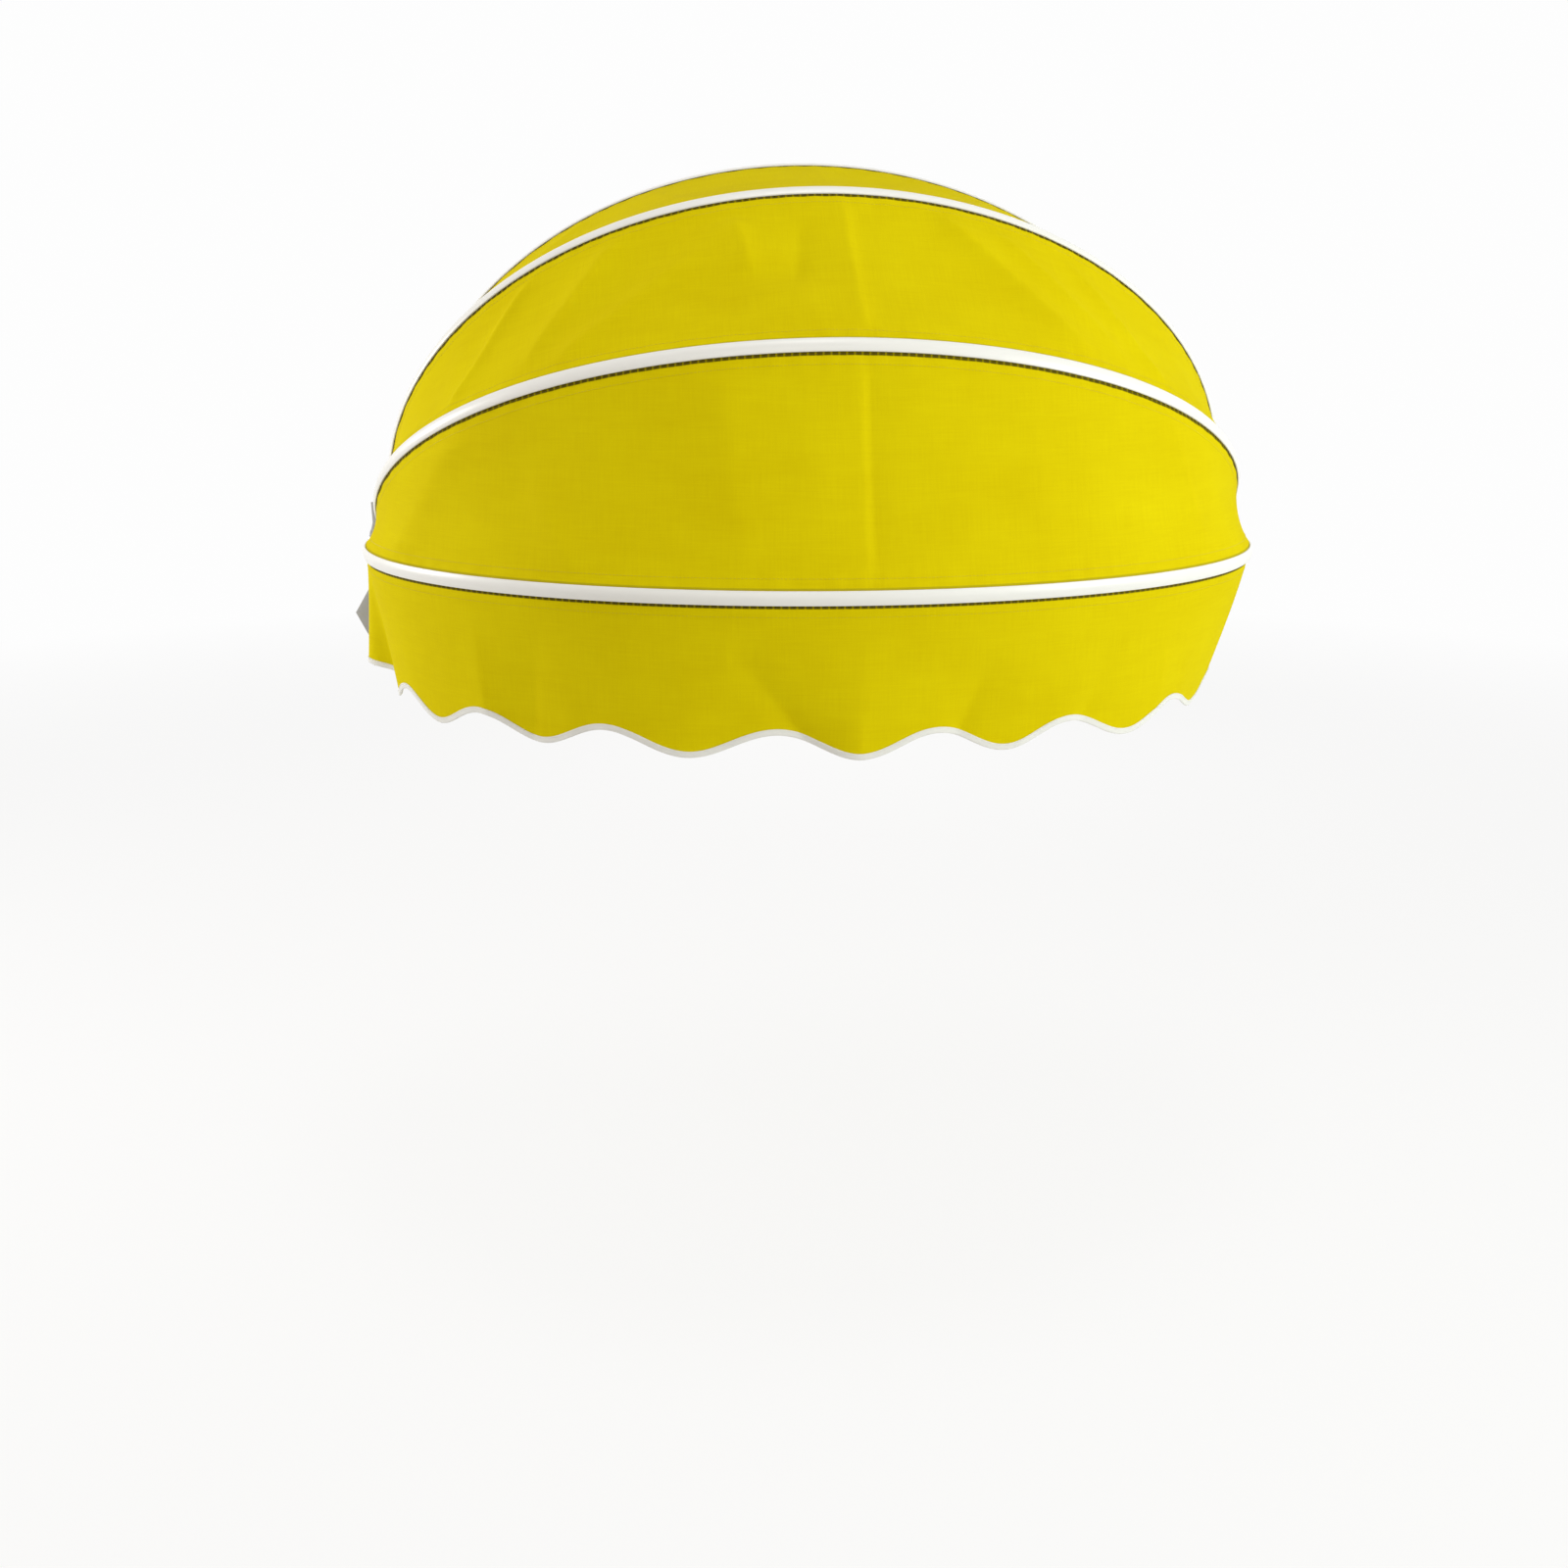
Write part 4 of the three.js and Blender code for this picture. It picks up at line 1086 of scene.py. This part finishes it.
class Finish(Nodes):
    """A node material being put together."""

    def __init__(self, name):
        self.material = bpy.data.materials.new(name)
        super().__init__(self.material)

    def cloth(self):
        """What each point of the cloth stores: metres along it, across it and in from the bow above."""
        vector = self.add("ShaderNodeAttribute", {"attribute_name": "cloth"}).out("Vector")
        parts = self.add("ShaderNodeSeparateXYZ", {}, {"Vector": vector})
        return vector, parts.out("X"), parts.out("Y"), parts.out("Z")

    def place(self):
        """Position on the object, in metres."""
        return self.add("ShaderNodeTexCoord").out("Object")

    def noise(self, vector, scale, detail):
        inputs = {"Vector": vector, "Scale": scale, "Detail": detail, "Roughness": 0.55}
        return self.add("ShaderNodeTexNoise", {}, inputs).out("Fac")

    def stretched(self, vector, scale):
        inputs = {"Vector": vector, "Scale": scale}
        return self.add("ShaderNodeMapping", {}, inputs).out("Vector")

    def mix(self, factor, first, second):
        """Colour between two colours."""
        inputs = {0: factor, 6: first, 7: second}
        return self.add("ShaderNodeMix", {"data_type": "RGBA"}, inputs).out(2)

    def normal(self, height, distance, strength):
        inputs = {"Height": height, "Distance": distance, "Strength": strength}
        return self.add("ShaderNodeBump", {}, inputs).out("Normal")

    def ended(self, shader):
        self.add("ShaderNodeOutputMaterial", {}, {"Surface": shader})
        return self.material

    def surface(self, **inputs):
        """Ends the material in a Principled shader. Underscores in the names stand for spaces."""
        named = {name.replace("_", " "): value for name, value in inputs.items()}
        return self.ended(self.add("ShaderNodeBsdfPrincipled", {}, named).out("BSDF"))


# Finishes

def woven(along, across, pitch):
    """Height of a plain weave, from 0 between the threads to 1 on them, and which thread lies on top."""
    warp = (along * (math.pi / pitch)).sine()
    weft = (across * (math.pi / pitch)).sine()
    on_top = (warp * weft).above(0.0)
    height = abs(warp) * on_top + abs(weft) * (1 - on_top)
    return height, on_top


def canvas_finish():
    """Plain-woven polyester canvas with painted shade between its threads, a dashed painted shadow in the
    seam under each bow and a dim painted shade line at the lip above it.
    """
    finish = Finish("canvas_yellow")
    vector, along, across, under_bow = finish.cloth()
    height, on_top = woven(along, across, WEAVE_PITCH)
    warp = finish.noise(finish.stretched(vector, (700.0, 22.0, 1.0)), scale=1.0, detail=3.0)
    weft = finish.noise(finish.stretched(vector, (22.0, 700.0, 1.0)), scale=1.0, detail=3.0)
    yarn = (warp - 0.5) + (weft - 0.5)
    cloud = finish.noise(vector, scale=6.0, detail=4.0)
    streak = finish.noise(finish.stretched(vector, (9.0, 60.0, 1.0)), scale=1.0, detail=3.0)
    tone = 0.5 + (cloud - 0.5) * 0.9 + (streak - 0.5) * 0.35
    tone = (tone + (on_top - 0.5) * 0.12 + yarn * 0.6).clamped()
    colour = finish.mix(tone, *CANVAS_YELLOW)
    # painted shade: darker between the threads, where the hollows of the weave lie in shade
    colour = finish.mix(height * 0.22 + 0.78, CANVAS_SHADE_BETWEEN_THREADS, colour)
    # painted shadow: a dashed dark strip on the cloth under each bow, where the bow's edge shades it
    seam = ((SEAM_SHADE - under_bow) / SEAM_BLUR).clamped()
    dash = (along * (2 * math.pi / SEAM_DASH_PITCH)).sine().above(-0.7) * 0.3 + 0.66
    colour = finish.mix(seam * dash, colour, CANVAS_SEAM_SHADOW)
    # painted shade: a dim line on the cloth just above each bow's edge
    lip = ((LIP_SHADE - across) / LIP_BLUR).clamped()
    colour = finish.mix(lip * 0.4, colour, CANVAS_LIP_SHADE)
    return finish.surface(
        Base_Color=colour,
        Roughness=0.8 + (cloud - 0.5) * 0.1,
        Normal=finish.normal(height * 0.7 + yarn * 0.5, distance=0.00012, strength=0.5),
        Specular_IOR_Level=0.025,
        Specular_Tint=CANVAS_GLOSS_TINT,
    )


def tape_finish():
    """Woven binding tape, ribbed across its length."""
    finish = Finish("binding_white")
    vector, along, _, _ = finish.cloth()
    rib = (along * (2 * math.pi / 0.0009)).sine() * 0.5 + 0.5
    cloud = finish.noise(vector, scale=40.0, detail=3.0)
    return finish.surface(
        Base_Color=finish.mix((rib * 0.4 + cloud * 0.6).clamped(), *TAPE_WHITE),
        Roughness=0.75 + (cloud - 0.5) * 0.1,
        Normal=finish.normal(rib * 0.6 + cloud, distance=0.00012, strength=0.6),
        Specular_IOR_Level=0.3,
    )


def thread_finish(name, tones):
    """Sewing thread, mottled by its twist."""
    finish = Finish(name)
    twist = finish.noise(finish.place(), scale=900.0, detail=2.0)
    return finish.surface(
        Base_Color=finish.mix(twist, *tones),
        Roughness=0.5 + twist * 0.2,
        Normal=finish.normal(twist, distance=0.0001, strength=0.5),
        Specular_IOR_Level=0.4,
    )


def powder_finish(name, tones, grain, gloss):
    """Powder coat: an even colour with fine orange peel and faint handling marks."""
    finish = Finish(name)
    place = finish.place()
    peel = finish.noise(place, scale=grain, detail=2.0)
    cloud = finish.noise(place, scale=9.0, detail=4.0)
    rub = finish.noise(finish.stretched(place, (4.0, 60.0, 60.0)), scale=3.0, detail=5.0)
    return finish.surface(
        Base_Color=finish.mix((cloud * 0.7 + rub * 0.3).clamped(), *tones),
        Roughness=gloss + (rub - 0.5) * 0.18,
        Normal=finish.normal(peel, distance=0.00004, strength=0.35),
        Specular_IOR_Level=0.5,
    )


def nylon_finish():
    """Moulded nylon with a fine grain."""
    finish = Finish("nylon_white")
    place = finish.place()
    grain = finish.noise(place, scale=1200.0, detail=2.0)
    cloud = finish.noise(place, scale=30.0, detail=3.0)
    return finish.surface(
        Base_Color=finish.mix(cloud, *NYLON_WHITE),
        Roughness=0.48 + (cloud - 0.5) * 0.15,
        Normal=finish.normal(grain, distance=0.00003, strength=0.3),
        Specular_IOR_Level=0.45,
    )


def zinc_finish():
    """Zinc plate over turning marks that run round the bolt."""
    finish = Finish("zinc_plate")
    place = finish.place()
    cloud = finish.noise(place, scale=220.0, detail=4.0)
    turn_marks = finish.noise(finish.stretched(place, (3000.0, 120.0, 120.0)), scale=1.0, detail=2.0)
    return finish.surface(
        Base_Color=finish.mix(cloud, *ZINC_GREY),
        Metallic=1.0,
        Roughness=0.28 + cloud * 0.16,
        Normal=finish.normal(turn_marks, distance=0.00002, strength=0.4),
    )


# Stage, light and camera

def floor_finish():
    """Grey to the lights, and to the eye a pale glow that fades into the backdrop with distance."""
    finish = Finish("pale_floor")
    rays = finish.add("ShaderNodeLightPath")
    seen = rays.out("Is Camera Ray") + rays.out("Is Glossy Ray") + rays.out("Is Transmission Ray")
    place = finish.add("ShaderNodeNewGeometry").out("Position")
    far = finish.add("ShaderNodeVectorMath", {"operation": "LENGTH"}, {0: place}).out("Value")
    faded = FLOOR_NEAR_SHARE + ((far - FLOOR_NEAR) / FLOOR_FADE).clamped() * (1 - FLOOR_NEAR_SHARE)
    diffuse = finish.add("ShaderNodeBsdfDiffuse", {}, {"Color": FLOOR_GREY}).out("BSDF")
    glow = finish.add("ShaderNodeEmission", {}, {"Color": WHITE, "Strength": BACKDROP}).out("Emission")
    return finish.ended(finish.shared(seen.clamped() * faded, diffuse, glow))


def stage():
    """A wide floor well below the awning."""
    corners = [(-1, -1), (1, -1), (1, 1), (-1, 1)]
    points = [(x * FLOOR_HALF, y * FLOOR_HALF, FLOOR_HEIGHT) for x, y in corners]
    floor = mesh_object("floor", points, [(0, 1, 2, 3)])
    paint([floor], floor_finish())


def world():
    """A soft warm light all round, which the camera and reflections see as plain white."""
    made = bpy.data.worlds.new("studio")
    bpy.context.scene.world = made
    nodes = Nodes(made)
    rays = nodes.add("ShaderNodeLightPath")
    seen = rays.out("Is Camera Ray").larger(rays.out("Is Glossy Ray"))
    soft = nodes.add("ShaderNodeBackground", {}, {"Color": SOFT_LIGHT, "Strength": SOFT_STRENGTH})
    white = nodes.add("ShaderNodeBackground", {}, {"Color": WHITE, "Strength": BACKDROP})
    both = nodes.shared(seen, soft.out(0), white.out(0))
    nodes.add("ShaderNodeOutputWorld", {}, {"Surface": both})


def area_light(name, place, target, size, power, colour):
    """A square lamp that faces its target."""
    data = bpy.data.lights.new(name, "AREA")
    data.size = size
    data.energy = power
    data.color = colour
    made = linked(name, data)
    made.location = place
    made.rotation_euler = (Vector(target) - Vector(place)).to_track_quat("-Z", "Y").to_euler()


def camera():
    """The photo's view."""
    pan, tilt, roll = (math.radians(turn) for turn in (CAMERA_PAN, CAMERA_TILT, CAMERA_ROLL))
    ahead = Vector((math.sin(pan) * math.cos(tilt), math.cos(pan) * math.cos(tilt), math.sin(tilt)))
    data = bpy.data.cameras.new("camera")
    data.sensor_width = CAMERA_SENSOR
    data.lens = CAMERA_LENS
    made = linked("camera", data)
    made.location = Vector(PIVOT) + Vector(CAMERA_PLACE)
    aim = ahead.to_track_quat("-Z", "Y").to_matrix() @ Matrix.Rotation(roll, 3, "Z")
    made.rotation_euler = aim.to_euler()
    bpy.context.scene.camera = made


# Assembly

def paint(pieces, material):
    """Gives the pieces one material."""
    for piece in pieces:
        piece.data.materials.clear()
        piece.data.materials.append(material)


def build_panels():
    """The three panels, the stitches of their seams and the rows under the bow above each, whose dark thread
    stands in for the shade there.
    """
    panels, seams, edges = [], [], []
    names = list(bows)
    for name, low, high in zip(("lower", "middle", "upper"), names, names[1:]):
        lower, upper = bows[low], bows[high]
        made, cloth = panel(name, lower, upper)
        panels.append(made)
        seam_rows = [(SEAM_INSET, False), (SEAM_INSET, True)]
        seams.append(panel_stitches(name, cloth, seam_rows, "stitches"))
        edge_rows = [(EDGE_INSET, True)]
        edges.append(panel_stitches(name, cloth, edge_rows, "edge_stitches"))
    return panels, seams, edges


def build_valance():
    """The valance, its hem tape, and the stitches of its hem, its bow edge and its seam."""
    places, along, drop, cloth = valance_surface()
    hanging = valance(places, along, drop, cloth)
    tape, hem_thread = binding(along, cloth)
    edge_thread = valance_stitches("valance_edge_stitches", cloth, EDGE_INSET, VALANCE_EDGE_THREAD_RADIUS)
    seam_thread = valance_stitches("valance_stitches", cloth, SEAM_INSET, THREAD_RADIUS)
    hang([hanging, tape, hem_thread, edge_thread, seam_thread])
    return hanging, tape, hem_thread, edge_thread, seam_thread


def build_fittings():
    """The pivot stacks, wall brackets and wall clips, by what they are made of."""
    nylon, metal, zinc = [], [], []
    for side_name, side in (("left", -1), ("right", 1)):
        nylon += [knuckle(bow, side_name, side) for bow in bows.values()]
        for i in range(1, WASHER_COUNT + 1):
            nylon.append(washer(f"{side_name}_washer_{i}", f"{side_name}_spacer_{i}", side))
        zinc += [pivot_bolt(side_name, side), lock_nut(side_name, side)]
        metal.append(dressed(f"{side_name}_bracket", f"{side_name}_bracket_casting", BRACKET_BEVEL))
    for clip in ("left_wall_clip", "top_wall_clip", "right_wall_clip"):
        metal.append(dressed(clip, f"{clip}_angle", CLIP_BEVEL))
        zinc.append(clip_screw(f"{clip}_screw"))
    return nylon, metal, zinc


def build():
    """Makes every piece, then paints the pieces that are made of the same stuff."""
    tubes = [bow_tube(bow) for bow in bows.values()]
    panels, seam_threads, edge_threads = build_panels()
    hanging, tape, hem_thread, edge_thread, seam_thread = build_valance()
    nylon, metal, zinc = build_fittings()

    paint(tubes, powder_finish("powder_white", POWDER_WHITE, grain=1500.0, gloss=0.36))
    paint([*panels, hanging], canvas_finish())
    paint([*seam_threads, seam_thread], thread_finish("thread_yellow", THREAD_YELLOW))
    # the stitches under each bow are real; their dark olive colour is painted shade
    paint([*edge_threads, edge_thread], thread_finish("thread_olive_shade", THREAD_OLIVE_SHADE))
    paint([tape], tape_finish())
    paint([hem_thread], thread_finish("thread_white", THREAD_WHITE))
    paint(nylon, nylon_finish())
    paint(metal, powder_finish("powder_grey", POWDER_GREY, grain=900.0, gloss=0.42))
    paint(zinc, zinc_finish())


camera()
build()
stage()
world()
for light in LIGHTS:
    area_light(*light)
bpy.context.scene.view_settings.view_transform = "Standard"
bpy.context.view_layer.update()
